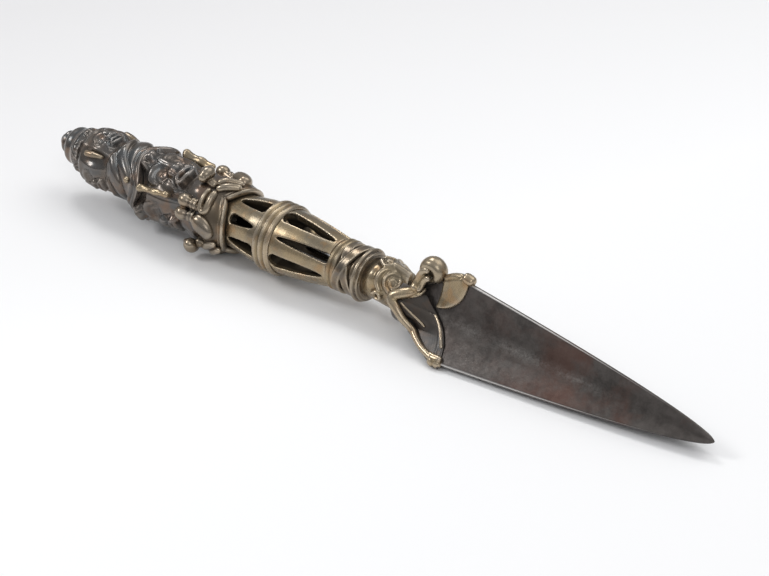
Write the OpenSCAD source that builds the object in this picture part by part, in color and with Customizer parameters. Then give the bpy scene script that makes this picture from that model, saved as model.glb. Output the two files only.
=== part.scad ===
// Ritual dagger with a three-finned iron blade and a figured copper-alloy hilt.
// It is drawn along its own axis, X from the finial to the tip, and angles go round
// that axis from +Y. Then it is tilted and lifted as it rests on a flat surface.

/* [Finial] */
// Length of the coiled topknot
topknot_h = 9.5; // [7:0.5:13]
// Radius of the topknot where it meets the diadem
topknot_r = 6.6; // [5.5:0.1:7.2]
// Length of the diadem
diadem_h = 3.4; // [2.8:0.1:5]
// Radius of the diadem at its rim
diadem_r = 7.6; // [7.2:0.1:8.4]
// Diameter of one jewel of the diadem
jewel_d = 1.9; // [1.5:0.1:2.4]

/* [Small heads] */
// Length of the block of three small heads
small_head_h = 12.4; // [11:0.2:16]
// Radius of the small heads at the cheeks
small_head_r = 9; // [8:0.1:10]
// Direction that the first small face looks in
small_roll = 94; // [84:1:104]

/* [Scarf] */
// Length of the neck scarf
scarf_h = 10.2; // [8:0.2:14]
// Radius of the scarf over its pleats
scarf_r = 8.4; // [7.6:0.1:9.2]
// How far a pleat stands up
pleat_h = 0.8; // [0.4:0.1:1.2]
// How far the cloth swells out below an ear
ear_swell = 0.6; // [0:0.1:0.9]
// Diameter of a stud of the scarf
stud_d = 1.9; // [1.4:0.1:2.6]

/* [Large heads] */
// Length of the ribbed hair band behind the large heads
hair_band_h = 4; // [3:0.2:6]
// Ridges round the hair band
hair_ridges = 3; // [2:1:4]
// Length of the block of three large heads
large_head_h = 17.5; // [16:0.5:21]
// Radius of the large heads at the cheeks
large_head_r = 10.3; // [9.8:0.1:11.4]
// Direction that the first large face looks in
large_roll = 107; // [98:1:116]
// How far the hairline swings between forehead and ear
hairline_swing = 1.9; // [0:0.1:2.6]
// How far a forehead swells out over the face
forehead_swell = 1.3; // [0:0.1:1.8]
// Thickness of an ear pendant
pendant_d = 3; // [2.4:0.1:3.6]

/* [Torso and limbs] */
// Length of the torso
torso_h = 12; // [10:0.5:16]
// Radius of the torso at the waist
torso_r = 9.6; // [9:0.1:10.5]
// Distance from the axis to the outside of a fist
fist_reach = 12.8; // [12:0.1:13.4]
// Thickness of a fist
fist_d = 3.7; // [3:0.1:4.4]
// Length of a fist with its forearm
fist_l = 7.2; // [6:0.2:9]
// Thickness of a folded arm
arm_d = 2.2; // [1.8:0.1:2.6]
// Thickness of a leg
leg_d = 4.2; // [3.4:0.1:4.6]
// Diameter of a rounded foot
foot_d = 4.4; // [3.6:0.1:5]
// Distance from the axis to the outside of a foot
foot_reach = 15.2; // [14:0.1:16]

/* [Petal collar] */
// Distance from the torso's end back to the collar's first edge
collar_lap = 2; // [1:0.5:4]
// Length of the collar from its first edge to a petal's tip
collar_h = 7.8; // [7:0.2:9]
// Radius of the collar where it is fullest
collar_r = 10.8; // [10.6:0.1:11.6]
// Radius of the petals at the rim
rim_r = 10.3; // [10:0.1:10.8]
// Wall of the collar
collar_wall = 1; // [0.8:0.1:1.3]
// Depth of the notch between two petals
petal_notch = 3.4; // [2:0.2:4.4]

/* [Openwork cage] */
// Length of the cage between the torso and the neck ring
cage_h = 42.8; // [38:0.2:48]
// Radius of the cage at the band
cage_r = 9.7; // [9:0.1:10.6]
// Radius of the cage where it leaves the torso
cage_top_r = 7.8; // [7.4:0.1:8.6]
// Radius of the cage at the neck ring
cage_neck_r = 7.4; // [7:0.1:8]
// Thickness of the bars
cage_wall = 1.9; // [1.6:0.1:2.6]
// Number of bars
bar_count = 8; // [6:2:10]
// Width of a window that is widest at the band
window_w = 4.8; // [3.4:0.1:5]
// Width of a window that is widest at the cage's end
end_window_w = 3.2; // [2.4:0.1:3.6]
// Distance from the torso to the middle of the band
band_at = 20.3; // [18:0.1:23]
// Length of the ridged band
band_h = 6.2; // [5:0.2:7]
// Ridges round the band
band_ridges = 3; // [2:1:5]
// Height of a ridge of the band
band_ridge_h = 0.8; // [0.4:0.1:1.2]

/* [Neck] */
// Length of the double neck ring
neck_ring_h = 2.8; // [2.4:0.2:4]
// Length of the knotted neck
knot_h = 8.4; // [8:0.2:12]
// Radius of the neck under the knot
knot_r = 6.7; // [6:0.1:7]
// Width of a strap of the knot
strap_w = 2.7; // [2.2:0.1:3.2]
// Thickness of a strap of the knot
strap_t = 1.3; // [1:0.1:1.8]
// How far the neck stands above the straight axis
neck_bow = 1.7; // [0:0.1:2.2]

/* [Makara head] */
// Length of the sea-beast's head
makara_h = 14; // [12:0.5:17]
// Radius of the sea-beast's head
makara_r = 7.3; // [7:0.1:8]
// Diameter of an eye
makara_eye_d = 3.2; // [2.4:0.1:4]
// Thickness of the rolled lips
lip_d = 2.5; // [2:0.1:3]
// Radius of the trunk's curl
trunk_curl_r = 2.5; // [2.3:0.1:3]
// Thickness of the trunk where it is fattest
trunk_d = 4.9; // [4.2:0.1:5.3]
// Thickness of the jaw and of the cheek pads
jaw_t = 0.9; // [0.6:0.1:1.3]
// Length of the lower jaw to its knobs
jaw_h = 21; // [18:0.5:24]
// Diameter of a knob at the end of the lower jaw
knob_d = 3.2; // [2.6:0.1:4]
// Diameter of a scroll on a cheek pad
scroll_d = 3.4; // [2.8:0.1:4]

/* [Blade] */
// Length of the blade in front of the sea-beast's head
blade_l = 103; // [90:1:125]
// Distance from the axis to a fin's edge where the blade is widest
fin_reach = 14; // [12.6:0.1:15]
// Depth of the hollow between two fins, as a share of the fin
hollow_share = 0.36; // [0.3:0.01:0.46]
// Width of the blunt edge of a fin
fin_edge = 0.7; // [0.5:0.1:1.2]
// Width of the square tang
tang_w = 5; // [4:0.2:6]
// Length of the tang
tang_l = 9; // [6:0.5:12]
// Clearance round the tang and under the jaws
seat_gap = 0.05; // [0.02:0.01:0.15]

/* [Hidden] */

// Stations along the axis, each from the one before
diadem_x = topknot_h;
small_x = diadem_x + diadem_h;
scarf_x = small_x + small_head_h;
hair_x = scarf_x + scarf_h;
large_x = hair_x + hair_band_h;
torso_x = large_x + large_head_h;
cage_x = torso_x + torso_h;
band_x = cage_x + band_at;
ring_x = cage_x + cage_h;
knot_x = ring_x + neck_ring_h;
makara_x = knot_x + knot_h;
mouth_x = makara_x + makara_h;
tip_x = mouth_x + blade_l;
jaw_x = mouth_x + jaw_h;

// The three fins: one points up, and the sea-beast looks along it
fin_roll = 90;
// Columns round a modelled section, a multiple of three
cols = 30;
// Radius of the neck under a head, of the jaw line and of the hairline
neck_r = 7.6;
chin_r = 9;
hair_r = 9.8;

copper = "#8a7345";
patina = "#4a4034";
iron = "#5b5450";

function mix(a, b, t) = a + (b - a)*t;
function clamp(t) = min(1, max(0, t));
function smooth(t) = let (c = clamp(t)) c*c*(3 - 2*c);
function bump(d, w) = exp(-d*d/(w*w));
function unit(v) = v/norm(v);
// Signed angle from the nearest of the three directions that start at roll
function off_side(a, roll) = let (m = (a - roll + 3600) % 120) m > 60 ? m - 120 : m;
// Swing between the three faces, 1 at a face and -1 at an ear
function swing(a) = cos(3*(a - large_roll));
// How far the neck stands above the straight axis at a station
function bow(x) = neck_bow*bump(x - (knot_x + knot_h/2), 19);
// A point on a section, on the straight axis or lifted with the neck
function polar(x, r, a) = [x, r*cos(a), r*sin(a)];
function at(x, r, a) = polar(x, r, a) + [0, 0, bow(x)];
function section(x, r, turn = 0) = [for (j = [0:cols - 1]) let (a = 360*j/cols + turn) at(x(a), r(a), a)];
// Side faces between rings of n points, from ring i to the next
function side_faces(i, n) = [for (j = [0:n - 1]) let (a = i*n + j, b = i*n + (j + 1) % n)
    each [[a, b + n, b], [a, a + n, b + n]]];

// A solid through rings of points, closed by a fan at each end
module through(rings, last = undef) {
    n = len(rings[0]);
    m = len(rings);
    middle = function (ring) [for (k = [0:2]) [for (p = ring) p[k]]*[for (p = ring) 1]/n];
    points = concat([for (ring = rings) each ring],
        [middle(rings[0]), is_undef(last) ? middle(rings[m - 1]) : last]);
    polyhedron(points, concat([for (i = [0:m - 2]) each side_faces(i, n)],
        [for (j = [0:n - 1]) [m*n, j, (j + 1) % n]],
        [for (j = [0:n - 1]) [m*n + 1, (m - 1)*n + (j + 1) % n, (m - 1)*n + j]]), convexity = 10);
}

// A closed wall, whose last ring joins its first one
module wall_through(rings) {
    n = len(rings[0]);
    m = len(rings);
    polyhedron([for (ring = rings) each ring],
        [for (i = [0:m - 1], j = [0:n - 1]) let (a = i*n + j, b = i*n + (j + 1) % n,
            c = ((i + 1) % m)*n + j, d = ((i + 1) % m)*n + (j + 1) % n) each [[a, d, b], [a, c, d]]],
        convexity = 10);
}

// A tube of oval section along a path, its height measured away from the dagger's axis
module oval_tube(path, widths, heights, sides = 8) {
    last = len(path) - 1;
    through([for (i = [0:last])
        let (t = unit(path[min(i + 1, last)] - path[max(i - 1, 0)]),
            out = [0, path[i][1], path[i][2] - bow(path[i][0])],
            n = unit(out - (out*t)*t), b = cross(t, n))
        [for (j = [0:sides - 1]) let (c = 360*j/sides)
            path[i] + n*heights[i]/2*cos(c) + b*widths[i]/2*sin(c)]]);
}

// A turned shape from a profile of [radius, distance along the axis]
module turned(profile) rotate([0, 90, 0]) rotate_extrude($fn = 96) polygon(profile);

module three_sides(roll) for (k = [0:2]) rotate([roll + 120*k, 0, 0]) children();

// A ball on a section, one of its corners pointing straight away from the axis
module ball(x, r, a, d, fn = 6) translate(polar(x, r, a)) rotate([a, 0, 0]) rotate([0, 0, 90])
    sphere(d = d, $fn = fn);

// Two balls, each given as [x, r, angle, diameter], and what lies between them
module link(p, q, fn = 6) hull() {
    ball(p[0], p[1], p[2], p[3], fn);
    ball(q[0], q[1], q[2], q[3], fn);
}

// Topknot: a round knob over coils of hair that widen towards the head
module topknot() {
    knob_r = 2.3;
    coils = 3;
    coil_rise = 0.45;
    steps = 18;
    coil_x = knob_r*1.4;
    color(patina) turned(concat(
        [for (b = [0:20:120]) [knob_r*sin(b), knob_r - knob_r*cos(b)]],
        [for (i = [0:steps]) let (v = i/steps)
            [mix(knob_r, topknot_r - coil_rise, pow(v, 0.7)) + coil_rise*abs(sin(180*coils*v)),
                mix(coil_x, topknot_h, v)]],
        [[0, topknot_h]]));
}

// Diadem: a flared rim with a leaf and two beads on each of its three sides
module diadem() {
    bead_angles = [-36, 36];
    seat_r = diadem_r - 0.5;
    color(patina) {
        through([for (v = [0, 0.3, 0.75, 1])
            section(function (a) diadem_x + v*diadem_h,
                function (a) mix(topknot_r, diadem_r, sin(150*v)) - 0.25*v)]);
        three_sides(small_roll) {
            link([diadem_x + diadem_h*0.2, seat_r, 0, jewel_d*0.7],
                [diadem_x + diadem_h*0.7, seat_r, 0, jewel_d*1.3]);
            for (a = bead_angles) ball(diadem_x + diadem_h*0.6, seat_r, a, jewel_d*0.9);
        }
    }
}

// One fierce face, its brow towards the finial, drawn looking along +Y. A small face has plain lips.
module face(eye_x, mouth_x, chin_x, r, s, lips = true) {
    low_lip_x = mouth_x + (lips ? 1.35 : 0)*s;
    for (side = [-1, 1]) {
        ball(eye_x, r - 0.6*s, side*21.5, 2.9*s);
        link([eye_x - 1.7*s, r - 0.15*s, side*7.5, 1.3*s], [eye_x - 2.5*s, r - 0.35*s, side*28, 1.45*s]);
        if (lips) link([mouth_x - 0.9*s, r - 0.05*s, side*4, 1.15*s],
            [mouth_x + 0.7*s, r - 0.6*s, side*22, 1.3*s]);
        ball(mouth_x - 2.1*s, r - 1.7*s, side*31, 4.3*s);
    }
    link([eye_x - 0.3*s, r - 0.15*s, 0, 1.6*s], [mouth_x - 2.7*s, r - 0.1*s, 0, 2.3*s]);
    if (lips) link([mouth_x - 2.35*s, r - 0.35*s, -9.5, 1.6*s], [mouth_x - 2.35*s, r - 0.35*s, 9.5, 1.6*s]);
    link([low_lip_x, r - 0.45*s, -8.5, 1.25*s], [low_lip_x, r - 0.45*s, 8.5, 1.25*s]);
    ball(chin_x - 1.9*s, r - 2*s, 0, 4.2*s);
}

// Skull of a block of three heads: a swelling forehead, full cheeks and a narrow neck. Its
// sizes are the radii at its start, cheeks and end, and how far the forehead swells.
small_skull = [diadem_r - 0.25, small_head_r, neck_r, 0.3];
large_skull = [hair_r, large_head_r, chin_r, forehead_swell];
skull_shares = [0, 0.06, 0.18, 0.35, 0.62, 0.82, 0.94, 1];
function skull_r(v, skull) = skull[3]*(bump(v - 0.18, 0.17) - (v == 0 ? 0.3 : 0))
    + (v < 0.5 ? mix(skull[0], skull[1], pow(sin(90*min(1, v/0.2)), 0.8))
        : mix(skull[1], skull[2], pow((v - 0.5)/0.5, 2.4)));
module skulls(first_x, last_x, skull) through([for (v = skull_shares)
    section(function (a) mix(first_x(a), last_x, v), function (a) skull_r(v, skull))]);
// The round surface of a skull that ear pendants are seated on
module skull_seat(first_x, last_x, skull) turned(concat([[0, first_x]],
    [for (v = skull_shares) [skull_r(v, skull), mix(first_x, last_x, v)]], [[0, last_x]]));

// Small heads: three fierce faces, back to back, under the diadem
module small_heads() color(patina) {
    eye_x = small_x + small_head_h*0.58;
    mouth_x = scarf_x - small_head_h*0.17;
    skulls(function (a) small_x, scarf_x, small_skull);
    three_sides(small_roll) face(eye_x, mouth_x, scarf_x + 0.6, small_head_r, small_head_h/17.5, false);
}

// Small ear pendants: a drop between two faces, tapering towards the scarf
module small_ear_pendants() color(copper) difference() {
    three_sides(small_roll + 55)
        link([small_x + small_head_h*0.44, small_head_r*1.01, 0, small_head_r*0.28],
            [scarf_x - small_head_h*0.13, small_head_r*1.01, -4, small_head_r*0.16]);
    skull_seat(small_x, scarf_x, small_skull);
}

// Scarf: cloth wound round the neck, its pleats running aslant for a third of a turn
module scarf() {
    pleats = 6;
    wind = 120;
    // Turns the pleats so that each stud sits on one
    start = 19;
    color(patina) through([for (v = [0, 0.1, 0.26, 0.42, 0.58, 0.74, 0.9, 1])
        section(function (a) mix(scarf_x, hair_x - hairline_swing*swing(a), v),
            function (a) mix(neck_r, scarf_r, sin(90*min(1, v/0.3))) - ear_swell*v*swing(a)
                + (v > 0 && v < 1 ? pleat_h/2*sin(pleats*(a - wind*v + start)) : 0),
            wind*v)]);
}

// Studs: a rounded boss where the scarf meets the hair, below each ear
module scarf_studs() {
    stud_x = hair_x + hairline_swing - stud_d*0.75;
    seat_r = scarf_r + 0.86*ear_swell + pleat_h/2;
    color(copper) three_sides(large_roll + 55) difference() {
        translate([stud_x, seat_r, 0]) rotate([90, 0, 0]) sphere(d = stud_d, $fn = 32);
        translate([stud_x - stud_d, 0, 0]) rotate([0, 90, 0]) cylinder(r = seat_r, h = 2*stud_d, $fn = 96);
    }
}

// Hair band: plaited ridges that follow the hairline round all three heads
module hair_band() {
    rows = 2*hair_ridges;
    color(patina) through([for (i = [0:rows]) let (v = i/rows)
        section(function (a) hair_x - hairline_swing*swing(a) + v*hair_band_h,
            function (a) mix(scarf_r - ear_swell*swing(a), hair_r, pow(v, 0.6)) + (i % 2 == 1 ? 0.5 : 0))]);
}

// Large heads: three fierce faces, each with a curl of hair on its forehead
module large_heads() color(patina) {
    eye_x = large_x + large_head_h*0.43;
    mouth_x = torso_x - large_head_h*0.26;
    curl_d = 3;
    skulls(function (a) large_x - hairline_swing*swing(a), torso_x, large_skull);
    three_sides(large_roll) {
        face(eye_x, mouth_x, torso_x, large_head_r + 0.2, large_head_r/11.7);
        link([large_x - hairline_swing + curl_d*0.7, large_head_r + 0.4, -4, curl_d],
            [large_x - hairline_swing + curl_d*0.7, large_head_r + 0.4, 4, curl_d]);
    }
}

// Ear pendants: a slender ear with a bead at each end and one in the middle, leaning to the face
module ear_pendants() color(copper) difference() {
    x1 = large_x + hairline_swing + pendant_d*0.55;
    x2 = torso_x - large_head_h*0.21;
    mid_x = mix(x1, x2, 0.56);
    r = large_head_r + pendant_d*0.4;
    lean = -7;
    three_sides(large_roll + 54) {
        link([x1, r, 0, pendant_d*0.6], [x2, r, lean, pendant_d*0.6]);
        ball(x1, r, 0, pendant_d);
        ball(mid_x, r, lean*0.5, pendant_d*0.9);
        ball(x2, r, lean, pendant_d);
    }
    skull_seat(large_x + hairline_swing, torso_x, large_skull);
}

// Torso: the chest, its cloth drawn smooth between a face's shoulder and the fists
cloth_roll = large_roll + 19;
// Length of the chest that the collar leaves free
free_l = torso_h - collar_lap;
module torso() color(patina) {
    through(concat([for (v = [0, 0.2, 0.5, 0.8, 1])
        section(function (a) torso_x + free_l*v,
            function (a) mix(chin_r, torso_r, v)
                + sin(180*v)*(0.9 + 1.1*bump(off_side(a, cloth_roll), 18)))],
        [section(function (a) cage_x, function (a) torso_r)]));
}

// Radius of the collar's middle at a share of the way to its rim
function skirt_r(v) = mix(torso_r + collar_wall/2, rim_r - collar_wall/2, v) + (collar_r - rim_r)*sin(180*v);

// The round surface of chest and collar that arms and legs are seated on
module limb_seat() {
    sides = 24;
    // Drawn round the corners of the collar's own sections
    clear = 1/cos(180/sides);
    chest = [[torso_x - 1, chin_r + 0.2], [torso_x + free_l*0.4, torso_r + 0.6],
        [collar_x - 1, torso_r + 0.4]];
    skirt = [for (v = [0, 0.3, 0.6, 0.84, 1.25])
        [collar_x + v*collar_h, skirt_r(min(1, v)) + collar_wall/2 + (v > 0.8 ? rim_t : 0)]];
    through([for (p = concat(chest, skirt)) [for (j = [0:sides - 1]) polar(p[0], p[1]*clear, 360*j/sides)]]);
}

// Where the fists lie, lengthwise and round the axis
fist_x = torso_x + fist_d/2 - 0.4;
fist_r = fist_reach - fist_d/2;
fist_roll = large_roll + 43;

// Arms: on each side a pair of fists with cuffs, and an arm folded into a loop
module arms() {
    fist_step = 21;
    cuff_x = fist_x + fist_l - fist_d;
    loop_x = cage_x - arm_d;
    loop_r = torso_r + arm_d*0.4;
    loop_gap = arm_d*0.66;
    loop_half = 18;
    bend = loop_gap/loop_r*180/PI;
    route = concat([for (a = [-loop_half, 0]) [-loop_gap, a]],
        [for (b = [0:45:180]) [-loop_gap*cos(b), loop_half - bend + bend*sin(b)]],
        [for (a = [0, -loop_half]) [loop_gap, a]]);
    color(copper) difference() {
        union() {
            three_sides(fist_roll) for (a = [0, fist_step]) {
                link([fist_x, fist_r, a, fist_d], [cuff_x, fist_r - 0.6, a, fist_d*0.86], 8);
                link([cuff_x + 1, fist_r - 0.8, a - 6, fist_d*0.66],
                    [cuff_x + 1, fist_r - 0.8, a + 6, fist_d*0.66]);
            }
            three_sides(large_roll + 30) oval_tube([for (p = route) polar(loop_x + p[0], loop_r, p[1])],
                [for (p = route) arm_d*0.95], [for (p = route) arm_d*1.3], 6);
        }
        limb_seat();
    }
}

// Where the outermost foot lies
foot_x = torso_x + 5.2;
foot_r = foot_reach - foot_d/2;
foot_roll = large_roll - 6;
foot_half = 4;

// Legs: on each side a bent leg, two shins across the petals and a rounded foot
module legs() {
    leg_r = torso_r + leg_d*0.26;
    knee_x = cage_x - 3.6;
    // A bent leg as [distance along the axis, angle, share of its thickness]
    route = [[-0.4, -17, 0.5], [0, -13, 0.9], [0, -2, 1], [1, 8, 1], [3.2, 16, 0.95], [5, 19, 0.5]];
    color(copper) difference() {
        union() {
            three_sides(large_roll + 73) oval_tube([for (p = route) polar(knee_x + p[0], leg_r, p[1])],
                [for (p = route) leg_d*p[2]], [for (p = route) leg_d*p[2]]);
            three_sides(foot_roll) {
                link([foot_x, foot_r, -foot_half, foot_d*0.9], [foot_x, foot_r, foot_half, foot_d], 8);
                link([foot_x, foot_r - 2.4, 2, foot_d*0.7], [foot_x + 3.8, torso_r + 0.6, 6, foot_d*0.6]);
            }
            for (lead = [0, 1]) three_sides(large_roll - 11*lead)
                link([cage_x - 1.2 - 1.6*lead, torso_r + 1.3, 6, arm_d],
                    [cage_x + 4.2 - lead, rim_r + 0.6, -17, arm_d]);
        }
        limb_seat();
    }
}

// Petals of the collar: 1 in the middle of a petal and 0 in a notch
petal_roll = large_roll + 71;
function petal(a) = pow(cos(1.5*off_side(a, petal_roll)), 0.7);
collar_x = cage_x - collar_lap;
rim_t = 0.35;
// A ring of the collar, at share v of the way to the rim and h above the wall's middle
function collar_ring(v, h) = section(
    function (a) mix(collar_x, collar_x + collar_h - petal_notch*(1 - petal(a)), v),
    function (a) max(torso_r + 0.02, skirt_r(v) - 0.4*(1 - petal(a))*v + h));

// Petal collar: three broad lotus petals in a skirt with a raised rim
module petal_collar() color(copper) wall_through(concat(
    [for (v = [0, 0.3, 0.6, 0.82]) collar_ring(v, collar_wall/2)],
    [for (v = [0.88, 1]) collar_ring(v, collar_wall/2 + rim_t)],
    [for (v = [0.98, 0.6, collar_lap/collar_h]) collar_ring(v, -collar_wall/2)],
    [section(function (a) collar_x, function (a) torso_r + 0.02)]));

// Radius of the cage along the axis: a spindle that is fullest under the band
function cage_outer(x) = let (u = x - cage_x)
    u < band_at ? mix(cage_top_r, cage_r, smooth(u/(band_at - band_h/2)))
        : mix(cage_r, cage_neck_r, pow(clamp((u - band_at - band_h/2)/(cage_h - band_at - band_h/2)), 1.45));

// Turns a piece slightly about the torso's end, so that it follows the neck
module lifted() translate([cage_x, 0, 0]) rotate([0, -atan(bow(ring_x)/cage_h), 0])
    translate([-cage_x, 0, 0]) children();

// A window's outline, widening from its narrow end at 0 to a round end at length l
module teardrop(l, w) {
    r = w/2;
    shares = [0.02, 0.12, 0.3, 0.6];
    half = function (v) r*pow(v, 0.5);
    polygon(concat([for (v = shares) [v*(l - r), -half(v)]],
        [for (b = [-75:30:75]) [l - r + r*cos(b), r*sin(b)]],
        [for (i = [3:-1:0]) [shares[i]*(l - r), half(shares[i])]]));
}

// Cage: an openwork spindle, its bars left standing between teardrop windows
module cage() {
    steps = 5;
    first_roll = 56.5;
    covered = 6;
    point_gap = 1.1;
    // The round ends run a little under the band and the neck ring
    round_gap = -0.4;
    spans = [[cage_x, band_x - band_h/2], [band_x + band_h/2, ring_x]];
    xs = [for (span = spans, i = [0:steps]) mix(span[0], span[1], i/steps)];
    color(copper) lifted() difference() {
        turned(concat([for (x = xs) [cage_outer(x), x]],
            [for (i = [len(xs) - 1:-1:0]) [cage_outer(xs[i]) - cage_wall, xs[i]]]));
        for (k = [0:bar_count - 1], side = [0, 1]) {
            round_at_band = k % 2 == 1;
            band_gap = round_at_band ? round_gap : point_gap;
            far_gap = side == 0 ? covered : round_at_band ? point_gap : round_gap;
            x1 = side == 0 ? spans[0][0] + far_gap : spans[1][0] + band_gap;
            x2 = side == 0 ? spans[0][1] - band_gap : spans[1][1] - far_gap;
            points_back = round_at_band == (side == 0);
            rotate([first_roll + 360*k/bar_count, 0, 0]) translate([points_back ? x1 : x2, 0, 0])
                mirror([points_back ? 0 : 1, 0, 0]) linear_extrude(height = 2*cage_r)
                teardrop(x2 - x1, round_at_band ? window_w : end_window_w);
        }
    }
}

// Band: ridges cast round the fullest part of the cage
module cage_band() {
    steps = 6*band_ridges;
    base = 0.2;
    color(copper) lifted() turned(concat([[cage_r, band_x - band_h/2]],
        [for (i = [0:steps]) [cage_r + base + band_ridge_h*abs(sin(180*band_ridges*i/steps)),
            band_x - band_h/2 + band_h*i/steps]],
        [[cage_r, band_x + band_h/2]]));
}

// Neck ring: two rounded hoops that close the cage
module neck_ring() {
    hoops = 2;
    steps = 6*hoops;
    color(copper) translate([0, 0, bow(ring_x + neck_ring_h/2)]) turned(concat([[0, ring_x]],
        [for (i = [0:steps])
            [cage_neck_r - 0.4 + 0.6*abs(sin(180*hoops*i/steps)), ring_x + neck_ring_h*i/steps]],
        [[0, knot_x]]));
}

// Core of the knot, with a hoop where the sea-beast's head begins
core_r = knot_r - strap_t/2;
hoop_x = makara_x - 1.8;
module knot_core() {
    hoop_r = knot_r + 1.4;
    color(copper) translate([0, 0, bow(knot_x + knot_h/2)]) turned([[0, knot_x], [core_r, knot_x],
        [core_r, hoop_x - 0.4], [hoop_r - 0.2, hoop_x - 0.2], [hoop_r, hoop_x + 0.3],
        [hoop_r - 0.2, hoop_x + 0.8], [knot_r, hoop_x + 1.2], [knot_r, makara_x], [0, makara_x]]);
}

// Straps: two flat rings, tilted so that they cross over the neck, one passing on top. Where
// they lean furthest, they run in under the neck ring and the hoop.
module knot_straps() {
    lean = 2.6;
    front = 143;
    lift = 0.3;
    tilt = asin(lean/knot_r);
    half = strap_w/2;
    mid_x = knot_x + half + lean*0.45;
    color(copper) translate([0, 0, bow(knot_x + knot_h/2)]) difference() {
        intersection() {
            for (side = [-1, 1]) {
                top_r = core_r + strap_t + lift*(1 + side)/2;
                translate([mid_x, 0, 0]) rotate([front, 0, 0]) rotate([0, side*tilt, 0])
                    turned([[core_r - 0.8, -half], [top_r - strap_t/4, -half], [top_r, -half*0.6],
                        [top_r, half*0.6], [top_r - strap_t/4, half], [core_r - 0.8, half]]);
            }
            translate([knot_x, 0, 0]) rotate([0, 90, 0])
                cylinder(r = 2*knot_r, h = hoop_x - 0.5 - knot_x, $fn = 96);
        }
        translate([knot_x - 1, 0, 0]) rotate([0, 90, 0]) cylinder(r = core_r, h = knot_h, $fn = 96);
    }
}

// Sea-beast's head: bulging eyes, brows and ears on a head that is deeper above
module makara_head() {
    eye_r = makara_r + 0.5;
    eye_x = mouth_x - 3.6;
    ear_x = mouth_x - 5.6;
    color(copper) difference() {
        union() {
            through([for (v = [0, 0.15, 0.35, 0.6, 0.85, 1])
                section(function (a) mix(makara_x, mouth_x, v),
                    function (a) mix(knot_r, makara_r, sin(90*min(1, v/0.3)))
                        + 1.1*sin(180*v)*max(0, cos(a - fin_roll)))]);
            translate([0, 0, bow(eye_x)]) rotate([fin_roll + 6, 0, 0]) for (side = [-1, 1]) {
                ball(eye_x, eye_r, side*31, makara_eye_d, 10);
                link([eye_x - 3, eye_r, side*12, 1.6], [eye_x - 2.6, eye_r + 0.3, side*32, 1.7]);
                link([eye_x - 2.6, eye_r + 0.3, side*32, 1.7], [eye_x + 0.6, eye_r - 0.2, side*46, 1.2]);
                link([ear_x - 2.8, makara_r, side*56, 1.4], [ear_x, makara_r + 0.2, side*62, 2.2]);
                link([ear_x, makara_r + 0.2, side*62, 2.2], [ear_x + 3, makara_r - 0.2, side*68, 1.2]);
                link([makara_x + 2.6, makara_r - 0.2, side*14, 2.4],
                    [makara_x + 4.8, makara_r + 0.4, side*26, 2]);
            }
        }
        tang_hole();
    }
}

// Radius of a fin's edge along the blade: shoulders, then a long taper to a rounded point
shoulder_l = 18;
shoulder_r = 5;
function fin_r(x) = min(mix(shoulder_r, fin_reach, clamp((x - mouth_x)/shoulder_l)),
    (fin_reach + 0.15)*pow(clamp((tip_x - x)/(blade_l - shoulder_l + 1)), 0.58));
function edge_half(x) = asin(min(0.3, fin_edge/2/fin_r(x)));
// Radius of the blade at an angle, hollow between the fins
function blade_outer(x, a) = let (r = fin_r(x), v = hollow_share*r, e = edge_half(x),
        w = clamp((60 - abs(off_side(a, fin_roll)))/(60 - e)))
    1/(1/v - (1/v - 1/r)*w*w);
// Angles of the columns of one fin, closest together at its edge
fin_shares = [0, 0.16, 0.36, 0.58, 0.8];
function fin_angles(e) = concat([for (i = [4:-1:0]) -e - (60 - e)*fin_shares[i]],
    [for (s = fin_shares) e + (60 - e)*s], [60]);
function blade_ring(x) = [for (k = [0:2], d = fin_angles(edge_half(x)))
    let (a = fin_roll + 120*k + d) polar(x, blade_outer(x, a), a)];

// A straight length of one fin, drawn along +Y, for what is seated over its edge
module fin_slot(x, l) {
    e = edge_half(x);
    translate([x - l/2, 0, 0]) rotate([90, 0, 90]) linear_extrude(height = l)
        polygon(concat([[0, 0]], [for (d = [-40, -20, -8, -e, e, 8, 20, 40])
            let (r = blade_outer(x, fin_roll + d)) [r*cos(d), r*sin(d)]]));
}

module tang_hole() translate([mouth_x - tang_l - seat_gap, -tang_w/2 - seat_gap, -tang_w/2 - seat_gap])
    cube([tang_l + 2*seat_gap + 1, tang_w + 2*seat_gap, tang_w + 2*seat_gap]);

// Blade: forged iron, three hollow faces between blunt fins, with its tang
module blade() {
    rows = 13;
    body_l = tip_x - mouth_x - shoulder_l;
    tip_round = 0.35;
    color(iron) {
        through(concat([for (v = [0, 0.35, 0.7]) blade_ring(mouth_x + shoulder_l*v)],
            [for (i = [0:rows])
                blade_ring(mouth_x + shoulder_l + (body_l - tip_round)*(1 - pow(1 - i/rows, 1.5)))]),
            last = [tip_x, 0, 0]);
        translate([mouth_x - tang_l, -tang_w/2, -tang_w/2]) cube([tang_l + 1, tang_w, tang_w]);
    }
}

// Surface of the sea-beast's mouth: round at the head, then lying on the blade
function mouth_outer(x, a) = mix(max(makara_r - 0.1, blade_outer(x, a)), blade_outer(x, a) + seat_gap,
    smooth((x - mouth_x)/18));

sheet_gap = 0.3;
// Direction square to the mouth's surface, in the plane of a section
function mouth_normal(x, a) = let (d = 0.5, t = polar(x, mouth_outer(x, a + d), a + d)
    - polar(x, mouth_outer(x, a - d), a - d)) unit([0, t[2], -t[1]]);
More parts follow.
